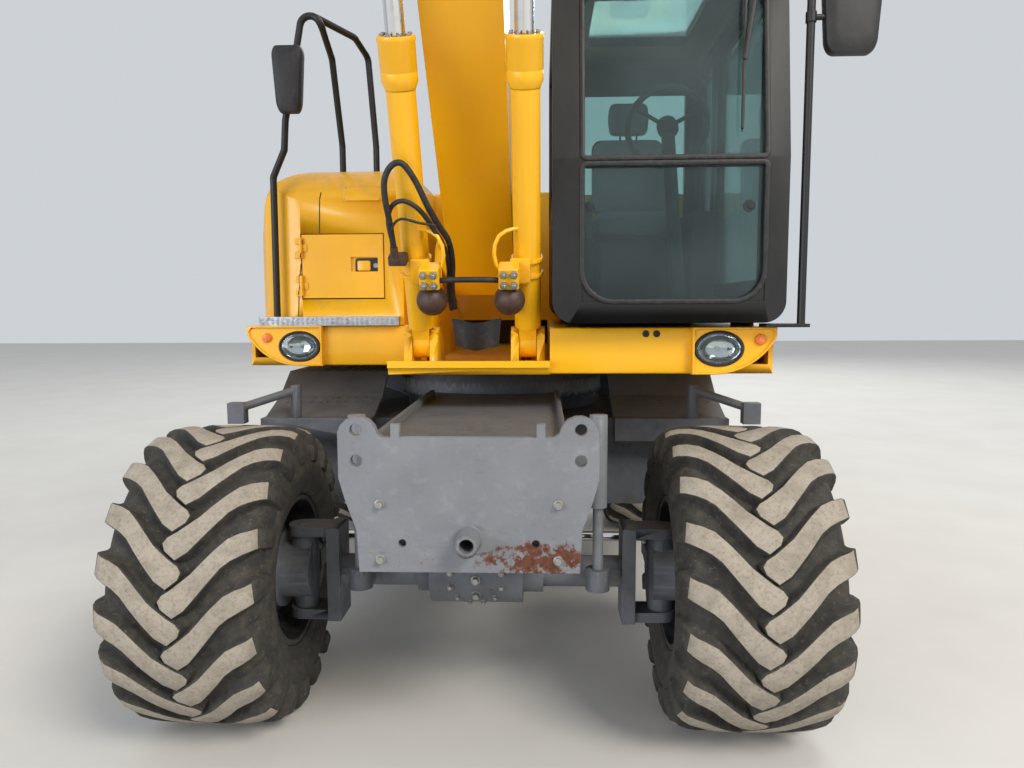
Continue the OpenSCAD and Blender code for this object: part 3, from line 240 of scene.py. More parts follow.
RUST_AT, RUST_SHAPE = (0.235, -2.07, 0.803), (0.8, 0.3, 2.3)


def rusting(tree, coords):
    """Mask of one ragged patch of rust, by the stretched distance from its middle."""
    off = put(tree, "VectorMath", {0: coords.outputs["Object"], 1: RUST_AT}, operation="SUBTRACT")
    flat = put(tree, "VectorMath", {0: off.outputs[0], 1: RUST_SHAPE}, operation="MULTIPLY")
    away = put(tree, "VectorMath", {0: flat.outputs[0]}, operation="LENGTH").outputs["Value"]
    close = put(tree, "MapRange", {"Value": away, "From Min": 0.27, "From Max": 0.05}).outputs[0]
    rust = both(tree, close, patches(tree, coords, 34, 0.25, 0.8, 9.0, rough=0.7))
    return put(tree, "MapRange", {"Value": rust, "From Min": 0.26, "From Max": 0.38}).outputs[0]


GRIT = ((12, 0.3, 0.7), 0.5)
DUSTY = (facing_up,)

# Sprayed enamel over steel: an even warm yellow with a faint orange peel, dust on its upper faces
ENAMEL = (
    ("#F2AF0C", 0.36, (700, 0.4, 0.75)),
    ("#C9A764", 0.6, (60, 0.5, 0.8), DUSTY),
    ("#C79B35", 0.55, (240, 0.5, 0.9, 4.0, (1, 1, 0.2)), 0.25),
    ("#5E4A2C", 0.6, (edges, 4), (14, 0.56, 0.66)),
)
yellow_enamel = finish("yellow_enamel", "#F9B90E", 0.3, ENAMEL, ((9, 0.2, 0.8, 1.0), 0.12), 4.0, coat=0.25)

# Mid-grey chassis paint under road dirt: a brownish film in patches and on upper faces, worn edges
CHASSIS = (
    ("#4A4D54", 0.5, (160, 0.45, 0.7)),
    ("#67655F", 0.85, (45, 0.42, 0.75), 0.5),
    ("#625F5A", 0.9, DUSTY, 0.5, (90, 0.25, 0.6)),
    ("#7D828A", 0.5, (edges, 5), (20, 0.4, 0.6)),
    ("#5B3B28", 0.8, (30, 0.68, 0.74)),
)
chassis_paint = finish("chassis_paint", "#5B5F67", 0.5, CHASSIS, GRIT, 5.0)

# Mid-grey paint of the mounting plates: scuffed, with rust where the paint has gone
PLATES = (
    ("#6E7176", 0.55, (220, 0.4, 0.7)),
    ("#93969A", 0.65, (50, 0.55, 0.85), 0.5),
    ("#62666C", 0.6, (16, 0.64, 0.72, 4.0, (0.3, 1, 2)), 0.6),
    ("#5B4A40", 0.7, (edges, 5), (15, 0.45, 0.6)),
    ("#7A4326", 0.85, (low_down, 0.76, 0.95), (12, 0.66, 0.7)),
    ("#5F3826", 0.9, (rusting,)),
    ("#4E2A19", 0.9, (rusting,), (16, 0.5, 0.62)),
)
plate_paint = finish("plate_paint", "#787B80", 0.5, PLATES, GRIT, 4.0)

# Black powder coat of the cab and the rails: satin, faintly pebbled, dusty on top
COAT = (
    ("#121316", 0.5, (300, 0.45, 0.7)),
    ("#2A2A2A", 0.65, (40, 0.5, 0.8), 0.2),
    ("#4A4741", 0.8, DUSTY, (60, 0.3, 0.7)),
    ("#36383B", 0.45, (edges, 3), (10, 0.5, 0.65)),
)
black_coat = finish("black_coat", "#0E0F11", 0.44, COAT, ((5, 0.3, 0.7, 2.0), 0.1), 4.0)

# Moulded black plastic of mirrors, trim and consoles: a leather grain, greyed by the sun. Its cells
# of 3 mm are coarser than real ones, so that they show
PLASTIC = (
    ("#2A2B2D", 0.6, (90, 0.4, 0.7)),
    ("#45443F", 0.75, (25, 0.55, 0.8), 0.4),
)
moulded_black = finish("moulded_black", "#1A1B1D", 0.55, PLASTIC, ((cells, 350.0), 0.25), 3.0)

# Tyre rubber: carbon black, browned by dried soil in the hollows
RUBBER = (
    ("#34332F", 0.8, (120, 0.4, 0.7)),
    ("#514C43", 0.9, (40, 0.4, 0.75), 0.7),
    ("#7A7163", 0.95, (14, 0.6, 0.75), 0.6),
)
SCUFFS = ((8, 0.3, 0.7), 0.6)
tyre_rubber = finish("tyre_rubber", "#2B2A29", 0.8, RUBBER, SCUFFS)

# Worn lug faces: scrubbed flat on paving and pale with dried clay
WORN = (
    ("#8B8376", 0.95, (70, 0.4, 0.7)),
    ("#736B5E", 0.95, (12, 0.5, 0.7), 0.6),
    ("#544E45", 0.95, (5, 0.62, 0.7), 0.8),
    ("#B2A999", 0.95, (30, 0.6, 0.75), 0.5),
)
lug_clay = finish("worn_lug_face", "#A0978A", 0.9, WORN, SCUFFS)

# Rim enamel, dark and dusty
RIM_DIRT = (
    ("#26282B", 0.5, (90, 0.4, 0.7)),
    ("#59554C", 0.85, (30, 0.45, 0.75), 0.6),
    ("#777B7F", 0.4, (edges, 4), (12, 0.45, 0.6)),
)
rim_paint = finish("rim_paint", "#2E3034", 0.42, RIM_DIRT, GRIT, 3.0)

# Hard chrome of the cylinder rods and the lamps' bowls, with faint dull patches
CHROME = (("#C9CCCF", 0.16, (30, 0.5, 0.8)),)
hard_chrome = finish("hard_chrome", "#DADCDE", 0.08, CHROME, metal=1.0)

# Galvanised sheet: frosted zinc with the pattern of its crystals
ZINC = (
    ("#9EA3A8", 0.5, (spangle,)),
    ("#7F7C74", 0.7, (50, 0.5, 0.8), 0.6),
)
galvanised = finish("galvanised_sheet", "#B9BDC1", 0.38, ZINC, round_edge=2.0, metal=0.85)

# Cast bucket steel: dark mill scale, polished where soil rubs it, thin rust elsewhere
SCALE = (
    ("#55575A", 0.45, (130, 0.4, 0.7)),
    ("#6E4A33", 0.85, (60, 0.5, 0.75), 0.7),
    ("#A9AAAA", 0.35, (edges, 8), (20, 0.3, 0.5)),
)
bucket_steel = finish("bucket_steel", "#45474A", 0.5, SCALE, GRIT, 5.0, metal=0.6)

# Brown primer of the accumulators and the hoses' ends
PRIMER = (
    ("#3B2A24", 0.55, (40, 0.4, 0.7)),
    ("#6A4A38", 0.8, (12, 0.55, 0.7), 0.6),
)
brown_primer = finish("brown_primer", "#4A342C", 0.5, PRIMER, GRIT, 3.0)

# Float glass of the cab: a slight green tint
cab_glass = glass_finish("tinted_glass", "#DCEDEC", 0.9, 0.07)

# Lamp and mirror glass: clear, and a silvered face
lamp_glass = glass_finish("lamp_glass", "#F4F8F8", 1.0, 0.04)
mirror_silver = finish("mirror_silver", "#E4E8EA", 0.04, metal=1.0)

# Zinc-plated fasteners: dull silver with a yellowish passivation and grime
PLATING = (
    ("#8F8C84", 0.5, (20, 0.4, 0.7)),
    ("#5E5850", 0.75, (6, 0.55, 0.7), 0.7),
)
zinc_bolt = finish("zinc_plated_bolt", "#A9A9A6", 0.38, PLATING, round_edge=1.0, metal=0.8)

# Hose rubber and seals: matt black with a cover woven in cells of 2 mm, bloomed grey
HOSE = (
    ("#262627", 0.6, (80, 0.4, 0.7)),
    ("#4A4843", 0.8, (20, 0.5, 0.75), 0.5),
)
hose_rubber = finish("hose_rubber", "#18181A", 0.5, HOSE, ((cells, 500.0), 0.15))

# Moulded lamp lenses: tinted acrylic with fine ribs, and the clear glass of the bulbs
marker_lens = finish("amber_lens", "#E8731A", 0.18, (), ((ribs,), 0.4), coat=0.6)
tail_lens = finish("red_lens", "#B3121A", 0.18, (), ((ribs,), 0.4), coat=0.6)
lamp_bulb = finish("bulb_glass", "#F2F1EA", 0.08, coat=1.0)

# Woven seat cloth: fine crossed threads, a flecked cool grey, darkened by use
CLOTH = (
    ("#67686A", 0.95, (4, 0.45, 0.7)),
    ("#75767A", 0.9, (120, 0.45, 0.75), 0.5),
)
seat_cloth = finish("seat_cloth", "#85878B", 0.9, CLOTH, ((threads,), 0.5))


# Shapes, each as (points, faces), made about its own z


def net(nu, nv, wrap_u=False, wrap_v=False):
    """Four-sided faces of a grid of nu by nv points, closed round either way when asked."""
    u = np.arange(nu if wrap_u else nu - 1)
    v = np.arange(nv if wrap_v else nv - 1)
    a, b = (g.ravel() for g in np.meshgrid(u, v, indexing="ij"))
    a1, b1 = (a + 1) % nu, (b + 1) % nv
    return np.stack([a * nv + b, a1 * nv + b, a1 * nv + b1, a * nv + b1], 1)


def joined(parts):
    """Several (points, faces) as one, the faces a list because their sizes may differ."""
    verts, faces, start = [], [], 0
    for v, f in parts:
        verts.append(np.asarray(v, float))
        faces += [[int(i) + start for i in face] for face in f]
        start += len(v)
    return np.concatenate(verts), faces


def unit(v):
    """A direction of length 1."""
    return np.asarray(v, float) / np.linalg.norm(v)


def unit_rows(v):
    """The same for each row of an array."""
    return v / np.linalg.norm(v, axis=-1, keepdims=True)


def placed(part, at, z, x=None):
    """A part moved to at, with its own z along z, and its own x along x where that matters."""
    z = unit(z)
    if x is None:
        x = np.cross((0, 0, 1) if abs(z[2]) < 0.9 else (1, 0, 0), z)
    x = unit(np.asarray(x, float) - np.dot(x, z) * z)
    return np.asarray(part[0]) @ np.stack([x, np.cross(z, x), z]) + np.asarray(at, float), part[1]


def capped(rows, n, loop=False):
    """Faces of rows rings of n points each, closed by an end face either way unless it is a loop."""
    faces = net(rows, n, wrap_u=loop, wrap_v=True).tolist()
    return faces if loop else faces + [list(range(n))[::-1], list(range((rows - 1) * n, rows * n))]


def turned(profile, n=24, loop=False):
    """A profile of (height, radius) turned about z: closed by flat ends, or itself a closed loop."""
    h, r = np.asarray(profile, float).T
    t = np.arange(n) * TAU / n
    pts = np.stack([np.outer(r, np.cos(t)), np.outer(r, np.sin(t)), np.repeat(h[:, None], n, 1)], -1)
    return pts.reshape(-1, 3), capped(len(h), n, loop)


def spun(profile, n, at, z, loop=False):
    """A turned profile of n sides, seated at a place with its axis along z."""
    return placed(turned(profile, n, loop), at, z)


def rounded(w, h, r, n=4):
    """Outline of a rectangle of w by h with corners of radius r."""
    t = np.linspace(0, math.pi / 2, n + 1)
    line = []
    for sx, sy, k in ((1, 1, 0), (-1, 1, 1), (-1, -1, 2), (1, -1, 3)):
        a = t + k * math.pi / 2
        line.append(np.stack([sx * (w / 2 - r) + r * np.cos(a), sy * (h / 2 - r) + r * np.sin(a)], -1))
    return np.concatenate(line)


def slab(outline, thick, edge=1.0):
    """A flat plate on an outline of (x, y) going anticlockwise, its upper edge rounded by edge
    millimetres."""
    line = np.asarray(outline, float)
    way = np.roll(line, -1, 0) - np.roll(line, 1, 0)
    inward = unit_rows(np.stack([-way[:, 1], way[:, 0]], -1))
    e = edge * MM
    rings = []
    for inset, z in ((0, 0), (0, thick - e), (0.3 * e, thick - 0.3 * e), (e, thick)):
        rings.append(np.column_stack([line + inward * inset, np.full(len(line), z)]))
    return np.concatenate(rings), capped(len(rings), len(line))


def plate(size, thick, edge, at, z, x, n=4):
    """A slab of size = (width, height, corner radius), seated at a place."""
    return placed(slab(rounded(*size, n), thick, edge), at, z, x)


def swept(path, side, size, n=10, loop=False):
    """A bar of an oval section, size = (half width, half height towards side), along a path."""
    path = np.asarray(path, float)
    way = unit_rows(np.roll(path, -1, 0) - np.roll(path, 1, 0) if loop else np.gradient(path, axis=0))
    out = unit_rows(np.cross(way, unit(side)))
    rise = np.cross(out, way)
    t = np.arange(n) * TAU / n
    ring = out[:, None] * (size[0] * np.cos(t))[:, None] + rise[:, None] * (size[1] * np.sin(t))[:, None]
    return (path[:, None] + ring).reshape(-1, 3), capped(len(path), n, loop)


def eased(points, steps=6):
    """A smooth route through given points: a Catmull-Rom curve."""
    p = np.asarray(points, float)
    p = np.concatenate([[2 * p[0] - p[1]], p, [2 * p[-1] - p[-2]]])
    a, b, c, d = (p[i : len(p) - 3 + i, None] for i in range(4))
    t = np.linspace(0, 1, steps, endpoint=False)[:, None]
    curve = b + 0.5 * t * (c - a + t * (2 * a - 5 * b + 4 * c - d + t * (3 * b - a - 3 * c + d)))
    return np.concatenate([curve.reshape(-1, 3), p[-2:-1]])


def bolt(across):
    """A hexagon head with a chamfered top on its washer, across flats in millimetres."""
    r = across * MM / math.sqrt(3)
    washer = turned([(-0.001, r * 1.2), (0.0017, r * 1.2), (0.0022, r * 1.14), (0.0022, r * 0.9)], 16)
    edge, top = (0.001 + 0.0012 * across * share for share in (0.5, 0.58))
    return joined([washer, turned([(0.002, r), (edge, r), (top, r * 0.84)], 6)])


def added(name, data):
    """A new object of the scene."""
    thing = bpy.data.objects.new(name, data)
    bpy.context.scene.collection.objects.link(thing)
    return thing


def make(name, part, material, body="upper", sharp=35, slots=None):
    """A piece made of a part or of a list of parts. It rides on a body, and is smooth where its faces
    meet at less than sharp degrees. With several materials, slots gives each face the number of its own."""
    points, faces = joined(part) if isinstance(part, list) else part
    mesh = bpy.data.meshes.new(name)
    mesh.from_pydata(np.asarray(points, float).tolist(), [], [list(map(int, f)) for f in faces])
    for surfacing in material if isinstance(material, list) else [material]:
        mesh.materials.append(surfacing)
    if slots is not None:
        mesh.polygons.foreach_set("material_index", np.asarray(slots, np.int32))
    outwards(mesh)
    smoothed(mesh, sharp)
    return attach(added(name, mesh), body)


def outwards(mesh, weld=0.0):
    """Turns every face of a closed mesh outwards, after joining points that lie within weld of each other."""
    shape = bmesh.new()
    shape.from_mesh(mesh)
    if weld:
        bmesh.ops.remove_doubles(shape, verts=shape.verts, dist=weld)
    bmesh.ops.recalc_face_normals(shape, faces=shape.faces)
    shape.to_mesh(mesh)
    shape.free()


def smoothed(mesh, sharp):
    """Shades a mesh smooth, with edges of more than sharp degrees kept."""
    mesh.polygons.foreach_set("use_smooth", np.ones(len(mesh.polygons), bool))
    mesh.set_sharp_from_angle(angle=math.radians(sharp))


# The CAD nodes: where their surfaces lie, and their copies that show


def node_mesh(node):
    """A copy of a CAD node's mesh in the frame of the row."""
    source = frame["nodes"][node]
    mesh = source.data.copy()
    mesh.transform(source.matrix_world)
    return mesh


def places(mesh):
    """Places of a mesh's points, one to a row."""
    flat = np.empty(len(mesh.vertices) * 3)
    mesh.vertices.foreach_get("co", flat)
    return flat.reshape(-1, 3)


@functools.cache
def surface(node):
    """Search tree of a CAD node's faces."""
    mesh = node_mesh(node)
    mesh.calc_loop_triangles()
    corners = np.empty(len(mesh.loop_triangles) * 3, np.int32)
    mesh.loop_triangles.foreach_get("vertices", corners)
    return BVHTree.FromPolygons(places(mesh).tolist(), corners.reshape(-1, 3).tolist())


def struck(node, starts, way):
    """Where rays from starts along way first meet a CAD node, as a list of (place, normal)."""
    hits = (surface(node).ray_cast(start, way)[:2] for start in starts)
    return [(np.array(p), np.array(n)) for p, n in hits if p is not None]


def bolts(name, node, starts, way, across, body):
    """Bolts seated on a CAD node where rays from starts along way meet it."""
    heads = [placed(bolt(across), at, normal) for at, normal in struck(node, starts, way)]
    make(name, heads, zinc_bolt, body)


def circle(centre, radius, count, axis, turn=0.0):
    """Places round a circle about an axis (0, 1 or 2), evenly spaced from turn degrees."""
    t = np.radians(turn) + np.arange(count) * TAU / count
    ring = np.zeros((count, 3))
    ring[:, (axis + 1) % 3] = radius * np.cos(t)
    ring[:, (axis + 2) % 3] = radius * np.sin(t)
    return (np.asarray(centre, float) + ring).tolist()


SHOWN = (
    (chassis_paint, "dark_steel",
     "chassis_frame slew_ring front_axle rear_axle side_boxes mudguard_arms knuckle_left knuckle_right "
     "engine"),
    (plate_paint, "grey_steel", "front_plate rear_plate axle_locks"),
    (yellow_enamel, "yellow_paint",
     "slew_frame tank_cover toolbox_door body_panels engine_hood pump_door cooler_door counterweight boom "
     "boom_barrels dipper dipper_barrel bucket_barrel bucket_levers bucket_link"),
    (black_coat, "black_paint", "handrails cab_frame cab_door"),
    (moulded_black, "black_plastic", "controls"),
    (rim_paint, "rim_paint", "rim_front_left rim_front_right rim_rear_left rim_rear_right"),
    (hard_chrome, "chrome_rod", "boom_rods dipper_rod bucket_rod steer_rod"),
    (galvanised, "galvanised", "step_strip"),
    (bucket_steel, "bucket_steel", "bucket"),
    (cab_glass, "clear_glass", "cab_glass door_glass"),
)
for material, slot, names in SHOWN:
    for node in names.split():
        mesh = node_mesh(node)
        outwards(mesh, 0.02 * MM)
        smoothed(mesh, 30)
        mesh.materials.clear()
        mesh.materials.append(material)
        piece = added(node + "_shown", mesh)
        # Large faces lead, so that curved sides stay even beside narrow triangles
        piece.modifiers.new("even_sides", "WEIGHTED_NORMAL").keep_sharp = True
        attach(piece, body_of(frame["nodes"][node])[0])
        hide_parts(node)


# Tyres

TREAD_R, WHEEL_X, AXLE_Z = 0.586, 1.006, 0.586
FRONT_Y, REAR_Y = -1.549, 1.201
LUGS = 19
# Section of the tyre over its lugs: distance from the middle, radius
SECTION = np.array(
    [(0, 0.586), (0.06, 0.5858), (0.12, 0.5848), (0.18, 0.5815), (0.225, 0.5765), (0.255, 0.568),
     (0.278, 0.551), (0.291, 0.527), (0.298, 0.5), (0.3, 0.47), (0.299, 0.43), (0.294, 0.39),
     (0.284, 0.355), (0.272, 0.328), (0.268, 0.312), (0.262, 0.303), (0.2485, 0.3012), (0.2462, 0.2885)]
)
ALONG = np.concatenate([[0], np.cumsum(np.linalg.norm(np.diff(SECTION, axis=0), axis=1))])
# One lug of the inner row: edges as (distance from the middle, degrees round the tyre), shoulder to centre
LUG_TOP = np.array(
    [(-0.300, 37.2), (-0.298, 36.6), (-0.290, 36.0), (-0.276, 35.2), (-0.257, 34.1), (-0.225, 32.9),
     (-0.192, 31.2), (-0.153, 27.4), (-0.118, 23.6), (-0.082, 19.6), (-0.050, 17.0), (-0.015, 14.3),
     (0.014, 12.5), (0.022, 11.6)]
)
LUG_LOW = np.array(
    [(-0.300, 33.4), (-0.298, 32.8), (-0.290, 32.0), (-0.276, 31.0), (-0.257, 29.9), (-0.225, 28.2),
     (-0.192, 26.4), (-0.158, 23.7), (-0.128, 20.0), (-0.098, 16.4), (-0.070, 13.1), (-0.042, 9.9),
     (-0.013, 7.7), (0.016, 10.2)]
)
SHOULDER_R = np.array([0.455, 0.498, 0.530, 0.553])
HALF_PITCH = 9.47
# Rings of a lug from its face down: how far it has moved outwards, share of the groove's depth, and
# more depth
LUG_RINGS = ((0.015, 0, 0), (0.0172, 0, 0.0012), (0.0185, 0, 0.004), (0.022, 0.5, 0), (0.026, 0.82, 0),
             (0.032, 1, -0.001), (0.038, 1, 0.004))
# Depth of the grooves at the crown, and where it starts to fade and ends, along the section
GROOVE_DEEP, GROOVE_FADES, GROOVE_ENDS = 0.043, 0.29, 0.43


def skin(along, depth):
    """Points (distance from the middle, radius) under the tyre's section: a place along it, less a
    depth."""
    s = np.abs(along)
    at, ahead, behind = (
        np.stack([np.interp(s + step, ALONG, SECTION[:, i]) for i in (0, 1)], -1)
        for step in (0, 0.004, -0.004)
    )
    way = unit_rows(ahead - behind)
    at = at + np.stack([way[..., 1], -way[..., 0]], -1) * depth[..., None]
    return at[..., 0] * np.where(along < 0, -1, 1), at[..., 1]


def groove(along):
    """Depth of the carcass under the lugs, full at the crown and nothing low on the sidewall."""
    left = (GROOVE_ENDS - np.abs(along)) / (GROOVE_ENDS - GROOVE_FADES)
    return GROOVE_DEEP * np.clip(left, 0, 1) ** 0.8 + 0.0005


def tyre_point(along, degrees, depth, side, y):
    """Places a point of the tyre's own (along, degrees, depth) beside an axle's end."""
    across, r = skin(along, depth)
    turn = np.radians(degrees)
    return np.stack([side * (WHEEL_X + across), y - r * np.cos(turn), AXLE_Z + r * np.sin(turn)], -1)


def lug_shape():
    """Rings of a lug: its outline as (along, degrees), moved outwards, with the depth of each."""
    rows = []
    for edge in (LUG_TOP, LUG_LOW):
        along = np.interp(np.abs(edge[:, 0]), SECTION[:9, 0], ALONG[:9]) * np.sign(edge[:, 0])
        # Past the shoulder the place follows the radius, because the sidewall stands upright
        along[:4] = -np.interp(-SHOULDER_R, -SECTION[:, 1], ALONG)
        rows.append(np.stack([along, edge[:, 1]], -1))
    line = np.concatenate([rows[0], rows[1][::-1]])
    scale = np.array([1.0, TREAD_R * math.pi / 180])
    flat = line * scale
    after = np.roll(flat, -1, 0)
    way = after - np.roll(flat, 1, 0)
    out = unit_rows(np.stack([-way[:, 1], way[:, 0]], -1))
    if np.sum(flat[:, 0] * after[:, 1] - after[:, 0] * flat[:, 1]) > 0:
        out = -out
    rings = []
    for move, share, more in LUG_RINGS:
        ring = (flat + out * move) / scale
        rings.append((ring[:, 0], ring[:, 1], groove(line[:, 0]) * share + more))
    return rings


def tyre(name, y, side, phase, body):
    """Carcass: the sunken section carried round the axle. Lugs: two rows of rings over it, half a
    pitch apart."""
    m = LUGS * 6
    along = np.concatenate([-ALONG[::-1], ALONG[1:]])
    along = np.sort(np.concatenate([along, (along[1:] + along[:-1]) / 2]))
    a, d = np.meshgrid(along, np.arange(m) * 360 / m, indexing="ij")
    parts = [(tyre_point(a, d, groove(a), side, y).reshape(-1, 3), net(len(along), m, wrap_v=True))]
    slots = [0] * len(parts[0][1])
    rings = lug_shape()
    n, count = len(LUG_TOP), 2 * len(LUG_TOP)
    for row in (1, -1):
        for k in range(LUGS):
            turn = phase + k * 360 / LUGS - (0 if row > 0 else HALF_PITCH)
            pts = [tyre_point(row * r[0], r[1] + turn, r[2], side, y) for r in rings]
            faces = list(net(len(rings), count, wrap_v=True))
            faces += [[i, i + 1, count - 2 - i, count - 1 - i] for i in range(n - 1)]
            parts.append((np.concatenate(pts), faces))
            slots += [0] * (len(rings) - 1) * count
            # Worn faces end where the shoulder turns down
            slots += [0 if i < 3 else 1 for i in range(n - 1)]
    return make(name, parts, [tyre_rubber, lug_clay], body, sharp=60, slots=slots)


WHEELS = (("front_left", FRONT_Y, 1, 0.0), ("front_right", FRONT_Y, -1, -3.4),
          ("rear_left", REAR_Y, 1, 5.0), ("rear_right", REAR_Y, -1, 11.0))
for name, y, side, phase in WHEELS:
    piece = tyre("lugged_tyre_" + name, y, side, phase, "wheel_" + name)
    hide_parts("tyre_" + name)
    # Wheel nuts outside, and the bolts of the hub's cap
    outside = (side * 1.5, y, AXLE_Z)
    starts = circle(outside, 0.145, 10, 0) + circle(outside, 0.085, 6, 0, 15)
    bolts("wheel_nuts_" + name, "rim_" + name, starts, (-side, 0, 0), 27, "wheel_" + name)


# Chassis

for node, y, way in (("front_plate", -2.4, 1), ("rear_plate", 2.2, -1)):
    starts = [(x, y, z) for x in (-0.30, 0.30) for z in (0.80, 0.99)]
    bolts(node + "_bolts", node, starts, (0, way, 0), 24, "chassis")
# Covers of the drives on the axles, with their rings of bolts, and the plugs of the front one
DRIVE_X, COVER_R = -0.014, 0.104
cover = circle((DRIVE_X, -2.3, AXLE_Z), COVER_R, 12, 1, 15)
bolts("drive_cover_bolts", "front_axle", cover, (0, 1, 0), 17, "chassis")
plugs = [(DRIVE_X, -2.3, z) for z in (AXLE_Z, 0.525)]
bolts("drive_plugs", "front_axle", plugs, (0, 1, 0), 27, "chassis")
cover = circle((0, 2.0, AXLE_Z), COVER_R, 12, 1, 15)
bolts("rear_cover_bolts", "rear_axle", cover, (0, -1, 0), 17, "chassis")
# Raised pattern of the tread plates over the side boxes: short bars that turn by a right angle from
# one to the next
BAR_STEP = 0.045
rows = [(side * x, y) for side in (-1, 1) for x in np.arange(0.60, 1.13, BAR_STEP)
        for y in np.arange(-0.62, 0.6, BAR_STEP)]
bars = []
for at, normal in struck("side_boxes", [(x, y, 1.5) for x, y in rows], (0, 0, -1)):
    if normal[2] > 0.9:
        turn = 0.785 if (round(at[0] / BAR_STEP) + round(at[1] / BAR_STEP)) % 2 else 2.356
        along = (math.cos(turn), math.sin(turn), 0)
        bars.append(plate((0.028, 0.009, 0.0044), 0.0022, 0.8, at, (0, 0, 1), along, 2))
make("tread_pattern", bars, chassis_paint, "chassis")
# Lids of the side boxes: a raised sheet with two latches each
LID_THICK = 0.004
lids, latches = [], []
for side in (-1, 1):
    for y in (-0.33, 0.31):
        at, normal = struck("side_boxes", [(side * 1.5, y, 0.86)], (-side, 0, 0))[0]
        lids.append(plate((0.56, 0.34, 0.03), LID_THICK, 2.0, at, normal, (0, 1, 0)))
        for shift in (-0.19, 0.19):
            spot = at + normal * LID_THICK + (0, shift, 0.12)
            latches.append(plate((0.05, 0.075, 0.012), 0.004, 1.5, spot, normal, (0, 1, 0)))
            latches.append(spun([(0, 0.013), (0.009, 0.013), (0.011, 0.011)], 20, spot, normal))
make("box_lids", lids, chassis_paint, "chassis")
make("box_latches", latches, zinc_bolt, "chassis")


# Noses: a pod round each lamp, with a rim and a sunken face, and a beam beside it

UPPER_Z, DECK_Z, HALF_W, NOSE_D = 1.352, 1.555, 1.245, 0.0595
# Arc of a pod's lower corner: its radius, its centre's distance from the side, its rise at the inner end
POD_R, ARC_IN, ARC_RISE = 0.300, 0.265, 0.156
# Half width and half height of the lamp's hole, and Y of the pods' front faces
POD_HOLE = (0.107, 0.078)
POD_LEFT, POD_RIGHT = -1.260, -0.743


def pod_line(x_in, inset):
    """Outline of a pod on the +X side as (x, z), moved in by inset: its outer lower corner is one
    wide arc."""
    low = math.asin((POD_R - ARC_RISE) / POD_R)
    t = np.linspace(-math.pi / 2, -low, 9)
    x, z = HALF_W - ARC_IN, UPPER_Z + POD_R
    arc = np.stack([x + (POD_R - inset) * np.cos(t), z + (POD_R - inset) * np.sin(t)], -1)
    ends = [(HALF_W - inset, DECK_Z - inset), (x_in + inset, DECK_Z - inset), (x_in + inset, UPPER_Z + inset)]
    return np.concatenate([arc, ends])


def seen_from(line, centre, angles):
    """Where rays from centre at the given angles cross an outline."""
    sides = zip(line, np.roll(line, -1, 0))
    off = np.concatenate([np.linspace(a, b, 60, endpoint=False) for a, b in sides]) - centre
    turn = np.arctan2(off[:, 1], off[:, 0])
    order = np.argsort(turn)
    r = np.interp(angles, turn[order], np.linalg.norm(off, axis=1)[order], period=TAU)
    return centre + np.stack([r * np.cos(angles), r * np.sin(angles)], -1)


def pod(x_in, centre, side, y):
    """Rings from the back over the rim and the sunken face into the lamp's hole, closed behind."""
    corners = pod_line(x_in, 0)[-4:] - centre
    angles = [np.arange(64) * TAU / 64 - math.pi, np.arctan2(corners[:, 1], corners[:, 0])]
    angles = np.unique(np.round(np.concatenate(angles), 4))
    hole = centre + np.stack([POD_HOLE[0] * np.cos(angles), POD_HOLE[1] * np.sin(angles)], -1)
    rim = [seen_from(pod_line(x_in, i), centre, angles) for i in (0, 0.003, 0.009, 0.0105)]
    rings = [(rim[0], NOSE_D), (rim[0], 0.003), (rim[1], 0), (rim[2], 0), (rim[3], 0.012)]
    rings += [(hole, 0.012), (hole, NOSE_D)]
    pts = []
    for ring, back in rings:
        pts.append(np.column_stack([side * ring[:, 0], np.full(len(ring), y + back), ring[:, 1]]))
    return np.concatenate(pts), net(len(rings), len(angles), wrap_u=True, wrap_v=True)


def beam(x0, x1, y):
    """The pressed cover beside a pod, its edges turned in above and below."""
    front, back, e = y + 0.040, y + NOSE_D, 0.014
    line = [(back, UPPER_Z), (front + e, UPPER_Z), (front + 0.3 * e, UPPER_Z + 0.3 * e), (front, UPPER_Z + e),
            (front, DECK_Z - e), (front + 0.3 * e, DECK_Z - 0.3 * e), (front + e, DECK_Z), (back, DECK_Z)]
    return [(x, *point) for x in (x0, x1) for point in line], capped(2, len(line))


pods = [pod(0.862, np.array([0.980, 1.450]), -1, POD_RIGHT),
        pod(0.888, np.array([1.003, 1.463]), 1, POD_LEFT)]
noses = make("nose_pods", pods, yellow_enamel)
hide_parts("front_noses")
beams = make("nose_beams", [beam(-0.866, -0.430, POD_RIGHT), beam(0.280, 0.892, POD_LEFT)], yellow_enamel)


# Lamps: black rim, chromed bowl, bulb and clear glass, then the small orange marker beside each

LAMPS = (((-0.980, 1.450), (-1.143, 1.495), POD_RIGHT), ((1.003, 1.463), (1.175, 1.502), POD_LEFT))
OVAL = np.array([1, 150 / 210, 1])
RIM = [(-0.035, 0.1045), (-0.002, 0.1045), (0.0015, 0.102), (0.0015, 0.097), (-0.004, 0.0925),
       (-0.035, 0.0925)]
BOWL = [(-0.006, 0.0922), (-0.014, 0.088), (-0.024, 0.076), (-0.032, 0.055), (-0.037, 0.03),
        (-0.038, 0.006), (-0.0395, 0.006), (-0.0385, 0.032), (-0.0335, 0.057), (-0.0255, 0.0785),
        (-0.0155, 0.0905)]
BULB = [(-0.038, 0.011), (-0.034, 0.011), (-0.033, 0.0075), (-0.024, 0.0085), (-0.017, 0.0065),
        (-0.014, 0.002)]
PANE = [(-0.0055, 0.0924), (-0.002, 0.085), (0.0003, 0.06), (0.001, 0.02), (0.001, 0.002),
        (-0.001, 0.002), (-0.0018, 0.06), (-0.004, 0.085)]
